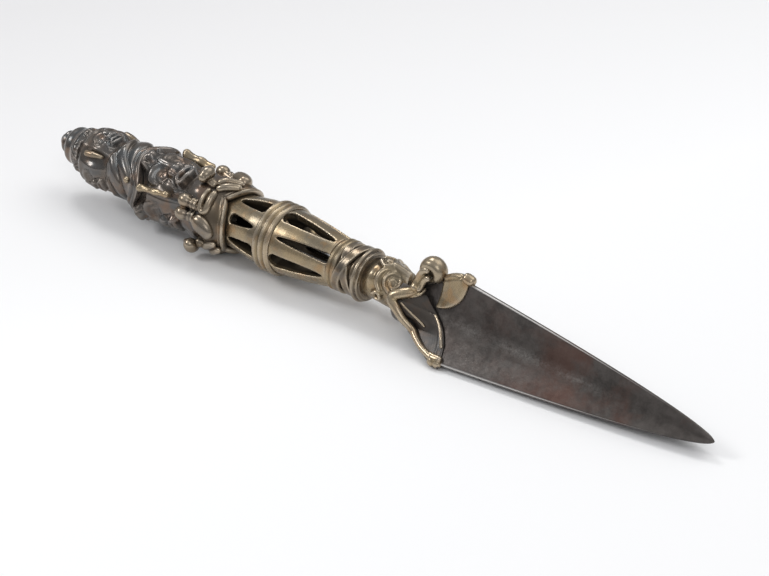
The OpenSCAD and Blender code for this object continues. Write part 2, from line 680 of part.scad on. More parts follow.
// A sheet of metal lying on the blade, over a list of angles and from x1(a) to x2(a). Its
// thickness is measured away from the axis, or square to the blade.
module sheet(angles, x1, x2, rows, t, square = false) {
    n = len(angles);
    m = rows + 1;
    lie = function (v, a, h) let (x = mix(x1(a), x2(a), v), r = mouth_outer(x, a))
        square ? polar(x, r, a) + h*mouth_normal(x, a) : polar(x, r + h, a);
    cap = function (base, flip) [for (j = [0:n - 2])
        let (a = base + j, b = a + 1, c = base + 2*n - 2 - j, d = c + 1)
        each flip ? [[a, c, b], [a, d, c]] : [[a, b, c], [a, c, d]]];
    polyhedron([for (i = [0:rows]) each concat([for (a = angles) lie(i/rows, a, t)],
        [for (j = [n - 1:-1:0]) lie(i/rows, angles[j], sheet_gap)])],
        concat([for (i = [0:rows - 1]) each side_faces(i, 2*n)], cap(0, false), cap((m - 1)*2*n, true)),
        convexity = 10);
}

// Lower jaw: thin cheeks that lie on the blade below the corners of the mouth
module lower_jaw() {
    corner_share = 0.62;
    angles = concat([fin_roll + 60],
        [for (k = [1, 2], d = fin_angles(edge_half(jaw_x))) fin_roll + 120*k + d]);
    color(copper) sheet(angles, function (a) mouth_x,
        function (a) mix(jaw_x, mouth_x + jaw_h*corner_share, abs(off_side(a, fin_roll))/60), 5, jaw_t);
}

// A roll of metal along points given as [x, angle, height], drawn on both sides of the top fin
module roll_on_blade(route, d) for (side = [0, 1]) mirror([0, side, 0])
    oval_tube([for (p = route) polar(p[0], mouth_outer(p[0], p[1]) + p[2], p[1])],
        [for (i = [0:len(route) - 1]) d*(1 - 0.25*i/len(route))],
        [for (i = [0:len(route) - 1]) d*(1 - 0.2*i/len(route))], 6);

// Rolled lips: from the trunk's foot down to the corner of the mouth and out along the jaw
module rolled_lips() {
    corner_x = mouth_x - 1.6;
    rise = 5.8;
    edge_x = 9;
    low = lip_d*0.3;
    high = sheet_gap + jaw_t + lip_d*0.45;
    upper = [for (i = [5:-1:1]) let (s = i/5)
        [corner_x + rise*sin(90*min(1, s/0.7)), fin_roll + 60 - 52*s, low]];
    lower = concat([for (s = [0:0.25:1])
        [corner_x + edge_x*s, fin_roll + 60 + 54*s, mix(low, high, min(1, 2*s))]],
        [for (s = [0.33, 0.66, 1]) [mix(corner_x + edge_x, jaw_x - 3.4, s), fin_roll + 116, high]]);
    color(copper) {
        roll_on_blade(concat(upper, lower), lip_d);
        roll_on_blade([for (p = upper) p + [lip_d*0.9, 0, -lip_d*0.1]], lip_d*0.6);
    }
}

// Trunk: a fat curl that rises from the upper lip over the top fin
module trunk_curl() {
    curl_x = mouth_x + 8;
    curl_z = 12.4;
    turns = 7;
    fat = function (j) trunk_d*(j < 5 ? mix(0.72, 1, sin(18*j)) : 1 - 0.09*(j - 5));
    path = concat([[mouth_x + 2.6, 0, makara_r]],
        [for (i = [0:turns]) let (b = 195 - 250*i/turns, r = trunk_curl_r*(1 - 0.25*i/turns))
            [curl_x + r*cos(b), 0, curl_z + r*sin(b)]]);
    color(copper) difference() {
        for (i = [0:turns]) hull() for (j = [i, i + 1])
            translate(path[j]) rotate([90, 0, 0]) sphere(d = fat(j), $fn = 10);
        blade();
    }
}

// Cheek pads: a pad folded over the top fin, tapering down each flank, with a ridge along
// its fold and a scroll at the ridge's end
module cheek_pads() {
    pad_x = mouth_x + 11.8;
    pad_l = 9;
    scroll_x = pad_x + 7.4;
    ridge_d = 2.2;
    first = 0.7;
    spread = 42;
    edge_l = function (a) pad_l*sqrt(1 - 0.95*pow((a - fin_roll - first)/spread, 2));
    color(copper) {
        for (side = [0, 1]) mirror([0, side, 0])
            sheet([for (s = [0, 0.033, 0.09, 0.2, 0.39, 0.67, 1]) fin_roll + first + spread*s],
                function (a) pad_x, function (a) pad_x + edge_l(a), 4, jaw_t, true);
        rotate([fin_roll, 0, 0]) difference() {
            link([scroll_x, fin_reach + 1, 0, scroll_d],
                [scroll_x + 2.2, fin_reach + 0.4, 0, scroll_d*0.8], 10);
            fin_slot(scroll_x, 4*scroll_d);
        }
        link([pad_x + 1, fin_r(pad_x + 1) + ridge_d/2, fin_roll, ridge_d],
            [scroll_x - 1, fin_r(scroll_x - 1) + ridge_d/2, fin_roll, ridge_d]);
    }
}

// Knobs: the rolled ends of the lower jaw, over the two lower fins
knob_x = jaw_x - 1.3;
knob_r = fin_reach - 0.3;
module jaw_knobs() color(copper) for (k = [1, 2]) rotate([fin_roll + 120*k, 0, 0]) difference() {
    link([knob_x - 1.7, knob_r, 0, knob_d], [knob_x, knob_r, 0, knob_d], 10);
    fin_slot(knob_x, 4*knob_d);
}

// Rest: tilted and lifted so that the lowest fist and the two jaw knobs touch the ground,
// with the middle of the outline over the origin
module lying() {
    run = knob_x - fist_x;
    rise = fist_r - knob_r*sin(30);
    tilt = atan(rise/run) + asin((fist_d - knob_d)/2/norm([run, rise]));
    lowest = fist_x*sin(tilt) + fist_r*cos(tilt) + fist_d/2;
    left = knob_r*cos(30) + knob_d/2;
    right = foot_r*cos(foot_roll - 120 + foot_half) + foot_d/2;
    translate([-tip_x*cos(tilt)/2, (left - right)/2, lowest]) rotate([0, tilt, 0]) children();
}

lying() topknot();
lying() diadem();
lying() small_heads();
lying() small_ear_pendants();
lying() scarf();
lying() scarf_studs();
lying() hair_band();
lying() large_heads();
lying() ear_pendants();
lying() torso();
lying() arms();
lying() legs();
lying() petal_collar();
lying() cage();
lying() cage_band();
lying() neck_ring();
lying() knot_core();
lying() knot_straps();
lying() makara_head();
lying() rolled_lips();
lying() trunk_curl();
lying() lower_jaw();
lying() jaw_knobs();
lying() cheek_pads();
lying() blade();
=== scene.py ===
import math

import bpy
import numpy as np
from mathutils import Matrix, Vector


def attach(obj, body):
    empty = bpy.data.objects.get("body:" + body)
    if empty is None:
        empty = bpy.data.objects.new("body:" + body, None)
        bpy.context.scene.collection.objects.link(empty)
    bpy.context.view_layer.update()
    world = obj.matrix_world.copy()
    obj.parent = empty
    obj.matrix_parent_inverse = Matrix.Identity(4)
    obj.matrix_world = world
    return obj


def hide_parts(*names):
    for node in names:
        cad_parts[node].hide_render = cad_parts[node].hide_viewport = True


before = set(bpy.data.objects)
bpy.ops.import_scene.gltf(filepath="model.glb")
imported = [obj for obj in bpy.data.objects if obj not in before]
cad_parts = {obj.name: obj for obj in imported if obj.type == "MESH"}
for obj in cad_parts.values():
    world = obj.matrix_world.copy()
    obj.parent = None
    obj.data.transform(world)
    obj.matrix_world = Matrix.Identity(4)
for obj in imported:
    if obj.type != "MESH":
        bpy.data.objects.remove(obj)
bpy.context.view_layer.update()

# Studio: the dagger lies on a pale sweep of paper in a white room, under soft lamps. The
# camera looks down along it from the tip's side, through a long lens.
scene = bpy.context.scene
scene.view_settings.view_transform = "Standard"


def new_material(name):
    """A bare material, its node tree and its shader."""
    material = bpy.data.materials.new(name)
    material.use_nodes = True
    tree = material.node_tree
    return material, tree, tree.nodes["Principled BSDF"]


camera = bpy.data.objects.new("camera", bpy.data.cameras.new("camera"))
scene.collection.objects.link(camera)
scene.camera = camera
camera.data.sensor_width = 36
camera.data.lens = 142.7
camera.data.clip_end = 10
elevation, azimuth, distance = math.radians(29.15), math.radians(49.48), 0.85
aim = Vector((0.007487, -0.000646, 0.009691))
back = Vector((math.cos(elevation) * math.cos(azimuth), -math.cos(elevation) * math.sin(azimuth),
               math.sin(elevation)))
camera.location = aim + back * distance
camera.rotation_mode = "QUATERNION"
camera.rotation_quaternion = (-back).to_track_quat("-Z", "Y")

paper, tree, shader = new_material("pale_paper")
shader.inputs["Roughness"].default_value = 0.9
sweep = tree.nodes.new("ShaderNodeVectorMath")
sweep.operation = "DOT_PRODUCT"
tree.links.new(tree.nodes.new("ShaderNodeTexCoord").outputs["Object"], sweep.inputs[0])
sweep.inputs[1].default_value = (-0.96, 0.28, 0)
# The paper's colour is darker towards the far left: painted shade for the lamps' light falling off.
painted_falloff = tree.nodes.new("ShaderNodeMapRange")
tree.links.new(sweep.outputs["Value"], painted_falloff.inputs["Value"])
for key, number in (("From Min", 0.02), ("From Max", 0.24), ("To Min", 0), ("To Max", 1)):
    painted_falloff.inputs[key].default_value = number
tone = tree.nodes.new("ShaderNodeMix")
tone.data_type = "RGBA"
tree.links.new(painted_falloff.outputs[0], tone.inputs[0])
tone.inputs[6].default_value = (0.97, 0.97, 0.975, 1)
tone.inputs[7].default_value = (0.755, 0.75, 0.755, 1)
tree.links.new(tone.outputs[2], shader.inputs["Base Color"])
bpy.ops.mesh.primitive_plane_add(size=6, location=(0, 0, 0))
floor = bpy.context.object
floor.name = "paper_floor"
floor.data.materials.append(paper)

world = bpy.data.worlds.new("white_room")
scene.world = world
world.use_nodes = True
nodes, links = world.node_tree.nodes, world.node_tree.links
room = nodes["Background"]
height = nodes.new("ShaderNodeSeparateXYZ")
links.new(nodes.new("ShaderNodeTexCoord").outputs["Generated"], height.inputs[0])
shade = nodes.new("ShaderNodeMapRange")
links.new(height.outputs["Z"], shade.inputs["Value"])
for key, number in (("From Min", 0.05), ("From Max", 0.95), ("To Min", 0.30), ("To Max", 0.64)):
    shade.inputs[key].default_value = number
links.new(shade.outputs[0], room.inputs["Strength"])
room.inputs["Color"].default_value = (0.97, 0.98, 1.0, 1)

for name, place, size, power, colour in [
        ("key_lamp", (0.30, 0.62, 1.20), 1.0, 4.3, (1.0, 0.99, 0.97)),
        ("left_box", (-0.72, -0.55, 0.75), 0.30, 3.0, (1.0, 1.0, 1.0)),
        ("top_box", (-0.50, 0.22, 0.80), 0.24, 1.7, (1.0, 1.0, 1.0)),
        ("front_box", (0.75, -0.75, 0.9), 0.6, 2.4, (0.98, 0.99, 1.0))]:
    lamp = bpy.data.objects.new(name, bpy.data.lights.new(name, "AREA"))
    scene.collection.objects.link(lamp)
    lamp.data.size = size
    lamp.data.energy = power
    lamp.data.color = colour
    lamp.location = place
    lamp.rotation_mode = "QUATERNION"
    lamp.rotation_quaternion = (-Vector(place)).to_track_quat("-Z", "Y")

# Blade: one forging of iron with three hollow-ground faces between blunt edges. It was hammered and filed, and has
# rusted and been rubbed down many times since. The pale streak down each hollow is a painted reflection, and the
# lighter edges are partly that rubbing and partly painted highlight.
TILT = math.radians(2.535)
FINIAL = np.array([-119.882, -0.646, 15.375])
MOUTH_X, BROAD_X, TIP_X = 137.0, 154.0, 240.0
SHOULDER, FIN_R, HALF_EDGE, TOP_FIN = 18, 14.15, 0.35, 90
HOLLOW, TIP_FILL = 0.36, 0.12  # a face's middle, as a share of the fins' reach, and what the tip adds


def lay(points):
    """Places points of the straight dagger, in mm from its finial, as it rests, in metres."""
    x, y, z = np.moveaxis(np.asarray(points, float), -1, 0)
    turned = np.stack([x * math.cos(TILT) + z * math.sin(TILT), y, z * math.cos(TILT) - x * math.sin(TILT)], -1)
    return (FINIAL + turned) / 1000


def ringed(rings, closed=False):
    """Joins rings of points into a solid, with a fan at each end or the last ring met by the first."""
    m, n = rings.shape[:2]
    i, j = np.meshgrid(np.arange(m if closed else m - 1), np.arange(n), indexing="ij")
    a, b = i * n + j, i * n + (j + 1) % n
    c, d = ((i + 1) % m) * n + (j + 1) % n, ((i + 1) % m) * n + j
    faces = np.stack([a, b, c, d], -1).reshape(-1, 4).tolist()
    points = rings.reshape(-1, 3)
    if not closed:
        points = np.vstack([points, rings[0].mean(0), rings[-1].mean(0)])
        faces += [[m * n, (k + 1) % n, k] for k in range(n)]
        faces += [[m * n + 1, (m - 1) * n + k, (m - 1) * n + (k + 1) % n] for k in range(n)]
    return points, faces


def relief_of(mesh, reach):
    """How far each point stands out of the smoothed surface round it, in mm."""
    count = len(mesh.vertices)
    places = np.empty(count * 3, np.float32)
    mesh.vertices.foreach_get("co", places)
    places = places.reshape(-1, 3).astype(float) * 1000
    normals = np.empty(count * 3, np.float32)
    mesh.vertex_normals.foreach_get("vector", normals)
    edges = np.empty(len(mesh.edges) * 2, np.int32)
    mesh.edges.foreach_get("vertices", edges)
    a, b = edges.reshape(-1, 2).T
    near = np.maximum(np.bincount(a, minlength=count) + np.bincount(b, minlength=count), 1)
    step = np.linalg.norm(places[a] - places[b], axis=1).mean()
    smooth = places.copy()
    for _ in range(int(min(90, max(4, (reach / step) ** 2)))):
        smooth = 0.5 * smooth + 0.5 * np.stack([
            (np.bincount(a, smooth[b, k], count) + np.bincount(b, smooth[a, k], count)) / near
            for k in range(3)], -1)
    return ((places - smooth) * normals.reshape(-1, 3)).sum(1)


def piece(name, node, material, shape, marks=()):
    """Makes one visible piece from points and faces, smooth, riding on the dagger, for a CAD node."""
    mesh = shape if isinstance(shape, bpy.types.Mesh) else bpy.data.meshes.new(name)
    if mesh is not shape:
        mesh.from_pydata(lay(shape[0]).tolist(), [], shape[1])
    mesh.name = name
    mesh.update()
    mesh.shade_smooth()
    held = mesh.attributes.new("relief", "FLOAT", "POINT")
    held.data.foreach_set("value", np.clip(0.5 + relief_of(mesh, 1.3) / 0.6, 0, 1).astype(np.float32))
    for mark, values in marks:
        held = mesh.attributes.new(mark, "FLOAT", "POINT")
        held.data.foreach_set("value", np.asarray(values, np.float32).ravel())
    made = bpy.data.objects.new(name, mesh)
    scene.collection.objects.link(made)
    mesh.materials.clear()
    mesh.materials.append(material)
    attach(made, "root")
    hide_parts(node)


def mixed(tree, factor, a, b):
    """A colour between two, each a socket or a colour, by a factor."""
    node = tree.nodes.new("ShaderNodeMix")
    node.data_type = "RGBA"
    for place, value in ((0, factor), (6, a), (7, b)):
        if isinstance(value, bpy.types.NodeSocket):
            tree.links.new(value, node.inputs[place])
        else:
            node.inputs[place].default_value = value if place == 0 else (*value, 1)
    return node.outputs[2]


def worked(tree, how, a, b):
    """A sum on numbers or sockets, held between 0 and 1."""
    node = tree.nodes.new("ShaderNodeMath")
    node.operation = how
    node.use_clamp = True
    for place, value in enumerate((a, b)):
        if isinstance(value, bpy.types.NodeSocket):
            tree.links.new(value, node.inputs[place])
        else:
            node.inputs[place].default_value = value
    return node.outputs[0]


def spread(tree, value, low, high, to_low=0.0, to_high=1.0):
    """A value's range stretched to another range."""
    node = tree.nodes.new("ShaderNodeMapRange")
    tree.links.new(value, node.inputs["Value"])
    for key, number in (("From Min", low), ("From Max", high), ("To Min", to_low), ("To Max", to_high)):
        node.inputs[key].default_value = number
    return node.outputs[0]


def clouds(tree, scale, detail=5.0, roughness=0.6, stretch=None):
    """Cloudy variation in the metal, its scale in waves a metre."""
    node = tree.nodes.new("ShaderNodeTexNoise")
    node.inputs["Scale"].default_value = scale
    node.inputs["Detail"].default_value = detail
    node.inputs["Roughness"].default_value = roughness
    spot = tree.nodes.new("ShaderNodeTexCoord").outputs["Object"]
    if stretch:
        mapping = tree.nodes.new("ShaderNodeMapping")
        mapping.inputs["Scale"].default_value = stretch
        tree.links.new(spot, mapping.inputs["Vector"])
        spot = mapping.outputs["Vector"]
    tree.links.new(spot, node.inputs["Vector"])
    return node.outputs["Fac"]


def mark_of(tree, name):
    """A number that the piece carries at each point."""
    node = tree.nodes.new("ShaderNodeAttribute")
    node.attribute_name = name
    return node.outputs["Fac"]


def bumped(tree, shader, height, strength, depth):
    """Fine unevenness of the metal's skin, its depth in metres."""
    node = tree.nodes.new("ShaderNodeBump")
    node.inputs["Strength"].default_value = strength
    node.inputs["Distance"].default_value = depth
    tree.links.new(height, node.inputs["Height"])
    tree.links.new(node.outputs["Normal"], shader.inputs["Normal"])


def fin_reach(x):
    """How far the fins stand out: a shoulder at the mouth, then a long curve to the tip."""
    shoulder = 5 + 9 * np.clip((x - MOUTH_X) / SHOULDER, 0, 1)
    return np.minimum(shoulder, FIN_R * np.clip((TIP_X - x) / (TIP_X - BROAD_X), 1e-5, 1) ** 0.62)


def edge_span(r):
    """Half the angle that a fin's blunt edge takes up at a reach."""
    return np.degrees(np.arcsin(np.minimum(0.3, HALF_EDGE / r)))


def off_third(deg, middle):
    """Angle from the nearest of three like places round the dagger, one of them at middle."""
    return (np.asarray(deg) - middle + 3660) % 120 - 60


def off_fin(deg):
    """Angle from the nearest fin."""
    return off_third(deg, TOP_FIN)


def blade_r(x, deg):
    """Radius of the blade at a station and an angle: hollow between its three fins."""
    r = fin_reach(x)
    edge = edge_span(r)
    w = np.clip((60 - np.abs(off_fin(deg))) / (60 - edge), 0, 1)
    valley = r * (HOLLOW + TIP_FILL * np.clip((np.asarray(x) - 190) / 50, 0, 1))
    return 1 / (1 / valley - (1 / valley - 1 / r) * w * w)


iron, tree, shader = new_material("forged_iron")
shader.inputs["Metallic"].default_value = 0.8
valley, along = mark_of(tree, "valley"), mark_of(tree, "along")
pits = spread(tree, clouds(tree, 900, 6, 0.7), 0.42, 0.68)
broad = clouds(tree, 110, 8, 0.68)
drawn = clouds(tree, 240, 4, 0.55, (0.12, 1, 1))
ground = mixed(tree, spread(tree, broad, 0.35, 0.65), (0.046, 0.041, 0.038), (0.088, 0.077, 0.071))
ground = mixed(tree, spread(tree, drawn, 0.45, 0.75, 0, 0.35), ground, (0.14, 0.128, 0.122))
# A pale mottled streak down the middle of each hollow face, fading towards the tip: a painted reflection.
hollow_reflection = worked(tree, "MULTIPLY", spread(tree, valley, 0.5, 1.0), spread(tree, broad, 0.38, 0.62, 0.3, 0.9))
hollow_reflection = worked(tree, "MULTIPLY", hollow_reflection, spread(tree, along, 0.6, 0.75, 1, 0))
ground = mixed(tree, spread(tree, clouds(tree, 330, 6, 0.7), 0.42, 0.66, 0, 0.5), ground, (0.135, 0.121, 0.112))
ground = mixed(tree, worked(tree, "MULTIPLY", hollow_reflection, spread(tree, clouds(tree, 1500, 5, 0.75), 0.3, 0.75)), ground,
               (0.34, 0.32, 0.30))
rust = worked(tree, "MULTIPLY", spread(tree, clouds(tree, 45, 6, 0.68), 0.48, 0.64), spread(tree, along, 0.1, 0.6))
ground = mixed(tree, worked(tree, "MULTIPLY", rust, 0.62), ground, (0.105, 0.046, 0.032))
# Lighter metal on the edges and ridges: partly rubbed bare, partly painted highlight.
ground = mixed(tree, spread(tree, mark_of(tree, "relief"), 0.66, 0.9), ground, (0.62, 0.60, 0.58))
tree.links.new(ground, shader.inputs["Base Color"])
tree.links.new(spread(tree, pits, 0, 1, 0.34, 0.55), shader.inputs["Roughness"])
bumped(tree, shader, mixed(tree, 0.5, clouds(tree, 900, 6, 0.7), drawn), 0.3, 0.0002)

full_x, blunt = MOUTH_X + SHOULDER, 0.12
rows = np.concatenate([np.linspace(MOUTH_X, full_x, 30)[:-1],
                       full_x + (TIP_X - blunt - full_x) * (1 - (1 - np.linspace(0, 1, 190)) ** 1.4)])
shares = np.linspace(0, 1, 17)[1:] ** 1.5
blade_rings = []
for x in rows:
    edge = edge_span(fin_reach(x))
    across = np.concatenate([-edge - (60 - edge) * shares[-2::-1], [-edge, -edge * 0.55, 0, edge * 0.55, edge],
                             edge + (60 - edge) * shares])
    deg = np.concatenate([TOP_FIN + 120 * k + across for k in range(3)])
    r = blade_r(np.full(deg.shape, x), deg)
    flat = np.abs(off_fin(deg)) < edge * 0.9
    r = np.where(flat, r * 1.002, r)
    blade_rings.append(np.stack([np.full(deg.shape, x), r * np.cos(np.radians(deg)),
                                 r * np.sin(np.radians(deg))], -1))
blade_rings = np.array(blade_rings)
points, faces = ringed(blade_rings)
deg = np.degrees(np.arctan2(points[:, 2], points[:, 1]))
piece("iron_blade", "blade", iron, (points, faces),
      [("valley", np.abs(off_fin(deg)) / 60), ("along", (points[:, 0] - MOUTH_X) / (TIP_X - MOUTH_X))])

# Sea-beast's head: the head that grips the blade, with almond eyes under heavy brows,
# curled ears and a brow ornament. It is one lost-wax casting of copper alloy with the
# hilt.
NECK_X, HEAD_X, HEAD_LONG, HEAD_R, CROWN = 118.8, 123.0, 14.4, 7.45, 92
EYE = (133.9, 4.8)


def bow(x):
    """How far the hilt's middle rises above a straight line, most of all at the neck."""
    return 1.7 * np.exp(-((np.asarray(x, float) - NECK_X) / 19) ** 2)


def at(x, r, deg, lifted=True):
    """Points on the hilt from station, radius and angle, following the neck's slight bow."""
    x, r, deg = np.broadcast_arrays(np.asarray(x, float), r, deg)
    a = np.radians(deg)
    return np.stack([x, r * np.cos(a), r * np.sin(a) + (bow(x) if lifted else 0)], -1)


def grid(first, last, across, step=0.17):
    """Stations and angles of a fine skin, as two tables."""
    m = max(3, int(abs(last - first) / step))
    n = int(2 * math.pi * across / step)
    return np.meshgrid(np.linspace(0, 1, m + 1), np.arange(n) * 360.0 / n, indexing="ij")


def curve(rows, fine=10):
    """A smooth run through rows of numbers."""
    rows = np.asarray(rows, float)
    k = np.vstack([2 * rows[0] - rows[1], rows, 2 * rows[-1] - rows[-2]])
    t = np.arange(fine)[:, None] / fine
    parts = []
    for i in range(1, len(k) - 2):
        a, b, c, d = k[i - 1:i + 3]
        parts.append(0.5 * (2 * b + (c - a) * t + (2 * a - 5 * b + 4 * c - d) * t ** 2
                            + (3 * b - a - 3 * c + d) * t ** 3))
    return np.vstack(parts + [rows[-1:]])


def swell(u, w, at_u, at_w, ru, rw, high):
    """A soft swelling with no edge, as a thumb leaves in wax."""
    return high * np.exp(-((u - at_u) / ru) ** 2 - ((w - at_w) / rw) ** 2)


def profile(d, high):
    """A rounded lump by distance from its middle, falling away outside it."""
    return np.where(d < 1, high * (1 - np.minimum(d, 1) ** 2) ** 0.75, -2.5 * high * (d - 1))


def dome(u, w, at_u, at_w, ru, rw, high):
    """A firm oval lump."""
    return profile(np.sqrt(((u - at_u) / ru) ** 2 + ((w - at_w) / rw) ** 2), high)


def beside(u, w, rows):
    """Distance from a smooth line of (u, w) rows, and the share of the way along it."""
    line = curve(rows, 6)
    best, share = np.full(u.shape, 99.0), np.zeros(u.shape)
    for i in range(len(line) - 1):
        p, d = line[i], line[i + 1] - line[i]
        t = np.clip(((u - p[0]) * d[0] + (w - p[1]) * d[1]) / max(d @ d, 1e-9), 0, 1)
        far = np.hypot(u - p[0] - t * d[0], w - p[1] - t * d[1])
        share = np.where(far < best, (i + t) / (len(line) - 1), share)
        best = np.minimum(best, far)
    return best, share


def stroke(u, w, rows, wide, high):
    """A firm ridge along a line, tapering from one width to another."""
    far, share = beside(u, w, rows)
    wide = np.atleast_1d(wide)
    half = (wide[0] + (wide[-1] - wide[0]) * share) / 2
    return profile(far / half, high * half / (wide.max() / 2))


def crease(u, w, rows, wide, deep):
    """A soft groove, or with a negative depth a soft ridge, fading at both ends."""
    far, share = beside(u, w, rows)
    return -deep * np.exp(-(far / (wide / 2)) ** 2) * np.sqrt(np.sin(math.pi * np.clip(share, 0.02, 0.98)))


def over(r, high, soft=0.2):
    """Lays a form over a surface, with a soft crease where they meet."""
    return 0.5 * (r + high + np.sqrt((r - high) ** 2 + soft ** 2)) - soft / 2


def alloy(name, deep, mid, wear_and_sheen_colour, tints, shine, wear_and_sheen_share=0.8):
    """Copper alloy handled to a gloss, darker in its hollows, partly from grime and partly from painted shade, and
    lighter on its ridges, partly from wear and partly from painted highlight.
    """
    material, tree, shader = new_material(name)
    shader.inputs["Metallic"].default_value = 0.85
    relief = mark_of(tree, "relief")
    broad, fine = clouds(tree, 130, 3, 0.5), clouds(tree, 800, 4, 0.6)
    # Ambient occlusion, used below to darken the colour where little light reaches: painted shade.
    hollow = tree.nodes.new("ShaderNodeAmbientOcclusion")
    hollow.samples = 6
    hollow.inputs["Distance"].default_value = 0.0025
    open_sky = spread(tree, hollow.outputs["AO"], 0.25, 0.8)
    ground = mixed(tree, spread(tree, broad, 0.42, 0.6), mid, tints[0])
    ground = mixed(tree, spread(tree, clouds(tree, 260, 2, 0.5), 0.5, 0.66, 0, 0.7), ground, tints[1])
    # Lighter metal on the ridges: partly wear, partly painted highlight.
    wear_and_sheen = worked(tree, "MULTIPLY", spread(tree, relief, 0.52, 1.0, 0, wear_and_sheen_share), spread(tree, fine, 0.3, 0.6, 0.92, 1))
    ground = mixed(tree, wear_and_sheen, ground, wear_and_sheen_colour)
    # Darker in hollows and where the occlusion is strong: partly grime, partly painted shade.
    grime_and_shade = worked(tree, "ADD", spread(tree, relief, 0.42, 0.0, 0, 0.45), spread(tree, open_sky, 0.9, 0.0, 0, 0.55))
    # Some pieces carry a mark that darkens them further where they lie in shade: painted shade.
    grime_and_shade = worked(tree, "ADD", grime_and_shade, mark_of(tree, "painted_shade"))
    ground = mixed(tree, worked(tree, "MULTIPLY", grime_and_shade, 0.94), ground, deep)
    tree.links.new(ground, shader.inputs["Base Color"])
    rough = worked(tree, "ADD", spread(tree, fine, 0.3, 0.75, shine, shine + 0.07),
                   worked(tree, "MULTIPLY", grime_and_shade, 0.22))
    tree.links.new(rough, shader.inputs["Roughness"])
    bumped(tree, shader, clouds(tree, 300, 2, 0.45), 0.05, 0.0003)
    return material


brass = alloy("worn_brass", (0.046, 0.037, 0.027), (0.325, 0.252, 0.155), (0.64, 0.55, 0.44),
              [(0.225, 0.188, 0.135), (0.34, 0.215, 0.105)], 0.24, 0.5)

v, deg = grid(HEAD_X, HEAD_X + HEAD_LONG, 7.5)
x = HEAD_X + HEAD_LONG * v
crown = np.maximum(0, np.cos(np.radians(deg - CROWN)))
base = HEAD_R - 0.1 * np.sin(np.radians(90 * np.minimum(1, v / 0.3))) + 1.1 * np.sin(np.radians(180 * v)) * crown
w = np.abs(np.radians((deg - CROWN + 180) % 360 - 180)) * 7.6
for lump in ((130.2, 4.6, 2.4, 3.4, 0.6), (134.2, 5.0, 1.9, 2.6, -0.25), (135.6, 9.6, 2.4, 3.0, 0.45),
             (126.2, 5.6, 1.9, 5.4, 1.05), (130.4, 12.5, 3.4, 3.5, 0.5)):
    base = base + swell(x, w, *lump)
r = base
for high, soft in (
        (dome(x, w, *EYE, 0.95, 1.25, 0.5), 0.2),
        (stroke(x, w, [(135.3, 2.9), (133.6, 3.2), (132.6, 4.7), (133.0, 6.3), (134.4, 7.2)], 0.85, 0.32), 0.35),
        (stroke(x, w, [(135.3, 2.9), (135.5, 4.8), (134.6, 6.8)], 0.8, 0.28), 0.35),
        (stroke(x, w, [(134.2, 1.9), (132.2, 2.5), (131.3, 4.6), (131.7, 6.9), (133.3, 8.4)], 1.1, 0.36), 0.5),
        (stroke(x, w, [(132.2, 1.2), (130.1, 2.4), (129.2, 4.6), (129.3, 7.2), (130.6, 9.2)], (1.8, 1.4), 0.65), 0.7),
        (stroke(x, w, [(128.6, 11.2), (129.8, 10.2), (131.1, 10.7), (131.1, 12.1), (129.9, 12.4)], (1.0, 0.8), 0.4),
         0.35),
        (stroke(x, w, [(127.2, 1.0), (129.2, 1.9), (130.8, 0.9)], (1.3, 1.0), 0.7), 0.5),
        (dome(x, w, 129.4, 0, 1.5, 1.0, 0.9), 0.5),
        (stroke(x, w, [(131.6, 0), (134.6, 0), (137.6, 0)], (1.8, 3.0), 1.1), 0.8)):
    r = over(r, base + high, soft)
r = r - swell(x, w, *EYE, 0.4, 0.5, 0.18)
for k in range(2):
    r = r + crease(x, w, [(133.0 + 1.3 * k, 8.6), (133.6 + 1.3 * k, 9.8), (133.2 + 1.3 * k, 11.4)], 0.6, 0.1)
piece("makara_mask", "makara_head", brass, ringed(at(x, r, deg)))

# Rolled lips: thick rolls of metal that open from the trunk's foot down to the corner of
# the mouth and run out along the jaw, with a thinner roll inside. Cast with the head.
def tube(path, out, wide, high, sides=18):
    """A round-ended rod along points, its height measured along out."""
    path = np.asarray(path, float)
    run = np.gradient(path, axis=0)
    run /= np.linalg.norm(run, axis=1)[:, None]
    up = np.broadcast_to(out, path.shape).astype(float)
    up = up - (up * run).sum(1)[:, None] * run
    up /= np.linalg.norm(up, axis=1)[:, None]
    side = np.cross(run, up)
    s = np.concatenate([[0], np.cumsum(np.linalg.norm(np.diff(path, axis=0), axis=1))])
    share = np.linspace(0, 1, len(path))
    wide, high = (np.interp(share, np.linspace(0, 1, np.size(v)), np.atleast_1d(v)) for v in (wide, high))
    end = np.ones(len(path))
    for gap, r in ((s, high[0] / 2), (s[-1] - s, high[-1] / 2)):
        end = np.minimum(end, np.sqrt(np.clip(1 - np.clip(1 - gap / max(r, 1e-6), 0, 1) ** 2, 0.02, 1)))
    q = np.arange(sides) * 2 * math.pi / sides
    return ringed(path[:, None] + (high * end / 2)[:, None, None] * np.cos(q)[None, :, None] * up[:, None]
                  + (wide * end / 2)[:, None, None] * np.sin(q)[None, :, None] * side[:, None])


def fused(shells, voxel=0.16, polish=5):
    """Runs overlapping shells together into one skin, as wax parts melted together."""
    points, faces, count = [], [], 0
    for p, f in shells:
        points.append(np.asarray(p))
        faces += [[i + count for i in face] for face in f]
        count += len(p)
    rough = bpy.data.meshes.new("rough")
    rough.from_pydata(lay(np.vstack(points)).tolist(), [], faces)
    made = bpy.data.objects.new("rough", rough)
    scene.collection.objects.link(made)
    one = made.modifiers.new("one_skin", "REMESH")
    one.mode = "VOXEL"
    one.voxel_size = voxel / 1000
    soft = made.modifiers.new("polish", "SMOOTH")
    soft.factor = 0.5
    soft.iterations = polish
    done = bpy.data.meshes.new_from_object(made.evaluated_get(bpy.context.evaluated_depsgraph_get()))
    bpy.data.objects.remove(made)
    bpy.data.meshes.remove(rough)
    return done


